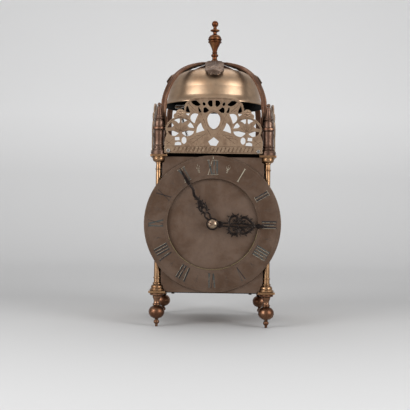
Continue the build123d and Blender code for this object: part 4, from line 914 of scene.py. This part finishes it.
# For each fret, its turn about the clock and the slant of the slots in its left and right screws, in degrees
SLOT_SLANTS = ((0, 28.648, 63.025), (90, 145.268, 179.646), (-90, -87.972, -53.595))
slots = bmesh.new()
for turn, left_slant, right_slant in SLOT_SLANTS:
    for side, slant in ((-1, left_slant), (1, right_slant)):
        slant = math.radians(slant)
        run = Vector((math.cos(slant), math.sin(slant))) * SLOT_REACH
        middle = Vector((side * SCREW_X, SCREW_Z))
        made = strip(slots, middle - run, middle + run, SLOT_CUT, SLOT_CUT, FRET_Y - 1.1, FRET_Y - 1.36)
        shift(slots, made, Matrix.Rotation(math.radians(turn), 4, "Z"))
finish_piece(slots, "screw_slots", black_wax_and_shade, "frame")

# ---------------------------------------------------------------- light, floor and camera

LAMP_AIM = Vector((0, 0, 0.2))


def soft_box(name, azimuth, height, distance, width, tall, power):
    """A soft area lamp aimed at the clock; azimuth is degrees to the right of the camera."""
    lamp = bpy.data.lights.new(name, "AREA")
    lamp.shape, lamp.size, lamp.size_y, lamp.energy = "RECTANGLE", width, tall, power
    holder = bpy.data.objects.new(name, lamp)
    turn = math.radians(azimuth)
    holder.location = (distance * math.sin(turn), -distance * math.cos(turn), height)
    aim = LAMP_AIM - holder.location
    holder.rotation_mode = "QUATERNION"
    holder.rotation_quaternion = aim.to_track_quat("-Z", "Y")
    scene.collection.objects.link(holder)


for box_name, azimuth in (("left_box", -47), ("right_box", 49)):
    soft_box(box_name, azimuth, height=0.62, distance=1.5, width=0.75, tall=0.95, power=17)
soft_box("top_box", 180, height=1.5, distance=0.3, width=1.2, tall=1.2, power=7)

world = bpy.data.worlds.new("studio")
scene.world = world
world.use_nodes = True
sky = world.node_tree.nodes["Background"].inputs
sky["Color"].default_value, sky["Strength"].default_value = (0.63, 0.63, 0.635, 1), 0.72

backdrop_grey = bpy.data.materials.new("backdrop_grey")
backdrop_grey.use_nodes = True
backdrop_shader = backdrop_grey.node_tree.nodes["Principled BSDF"]
BACKDROP_NEAR, BACKDROP_FAR = -0.6, 2.0
# Where along the sweep, from near to far, and how pale it is there: painted shade darkest on the floor under and just
# behind the clock, and painted light growing paler up the bend to the wall
BACKDROP_LIGHT_AND_SHADE = ((0.05, 199), (0.23, 181), (0.33, 178), (0.48, 187), (0.75, 212), (0.88, 224), (0.95, 244))
backdrop_place = put(backdrop_grey.node_tree, "ShaderNodeTexCoord").outputs["Object"]
backdrop_depth = put(backdrop_grey.node_tree, "ShaderNodeSeparateXYZ", {0: backdrop_place}).outputs[1]
backdrop_ramp = put(backdrop_grey.node_tree, "ShaderNodeValToRGB", {"Fac": put(
    backdrop_grey.node_tree, "ShaderNodeMapRange",
    {"Value": backdrop_depth, "From Min": BACKDROP_NEAR, "From Max": BACKDROP_FAR}).outputs["Result"]})
backdrop_stops = backdrop_ramp.color_ramp.elements
while len(backdrop_stops) < len(BACKDROP_LIGHT_AND_SHADE):
    backdrop_stops.new(0.5)
for stop, (place, grey) in zip(backdrop_stops, BACKDROP_LIGHT_AND_SHADE):
    stop.position = place
    stop.color = tone(grey, grey, grey)
backdrop_grey.node_tree.links.new(backdrop_ramp.outputs["Color"], backdrop_shader.inputs["Base Color"])
backdrop_shader.inputs["Roughness"].default_value = 0.9


# The sheet's half width, its near edge, where it starts to bend and how wide the bend is, and the wall's height
SHEET_HALF, SHEET_NEAR, BEND_START, BEND_RADIUS, WALL_HIGH = 4.0, -3.0, 1.0, 1.0, 3.0


def make_backdrop():
    """Floor and wall in one sweep, joined by a wide curve."""
    sheet = bmesh.new()
    edge = sheet.edges.new([sheet.verts.new((side * SHEET_HALF, SHEET_NEAR, 0)) for side in (-1, 1)])
    grown = bmesh.ops.extrude_edge_only(sheet, edges=[edge])["geom"]
    bmesh.ops.translate(sheet, verts=[v for v in grown if isinstance(v, bmesh.types.BMVert)],
                        vec=(0, BEND_START - SHEET_NEAR, 0))
    tip = [e for e in grown if isinstance(e, bmesh.types.BMEdge) and all(v.co.y > 0 for v in e.verts)]
    swung = bmesh.ops.spin(sheet, geom=tip, cent=(0, BEND_START, BEND_RADIUS), axis=(1, 0, 0),
                           angle=math.radians(90), steps=24, use_merge=False, use_duplicate=False)["geom_last"]
    top = [e for e in swung if isinstance(e, bmesh.types.BMEdge)]
    grown = bmesh.ops.extrude_edge_only(sheet, edges=top)["geom"]
    bmesh.ops.translate(sheet, verts=[v for v in grown if isinstance(v, bmesh.types.BMVert)],
                        vec=(0, 0, WALL_HIGH))
    bmesh.ops.recalc_face_normals(sheet, faces=sheet.faces)
    mesh = bpy.data.meshes.new("backdrop")
    sheet.to_mesh(mesh)
    sheet.free()
    mesh.shade_smooth()
    mesh.materials.append(backdrop_grey)
    made = bpy.data.objects.new("backdrop", mesh)
    scene.collection.objects.link(made)


make_backdrop()

# The camera's place in metres, its lens in millimetres and its small turns in degrees
CAMERA_PLACE, SENSOR, LENS = (0, -1.060, 0.139), 36.0, 70.0
PITCH, YAW, ROLL = 0.72, 0.55, 0.79
camera = bpy.data.objects.new("camera", bpy.data.cameras.new("camera"))
scene.collection.objects.link(camera)
camera.data.sensor_width, camera.data.lens = SENSOR, LENS
camera.location = CAMERA_PLACE
camera.rotation_mode = "QUATERNION"
camera.rotation_quaternion = (
    Matrix.Rotation(math.radians(YAW), 3, "Z") @ Matrix.Rotation(math.radians(90 + PITCH), 3, "X")
    @ Matrix.Rotation(math.radians(ROLL), 3, "Z")
).to_quaternion()
scene.camera = camera
scene.view_settings.view_transform = "Standard"
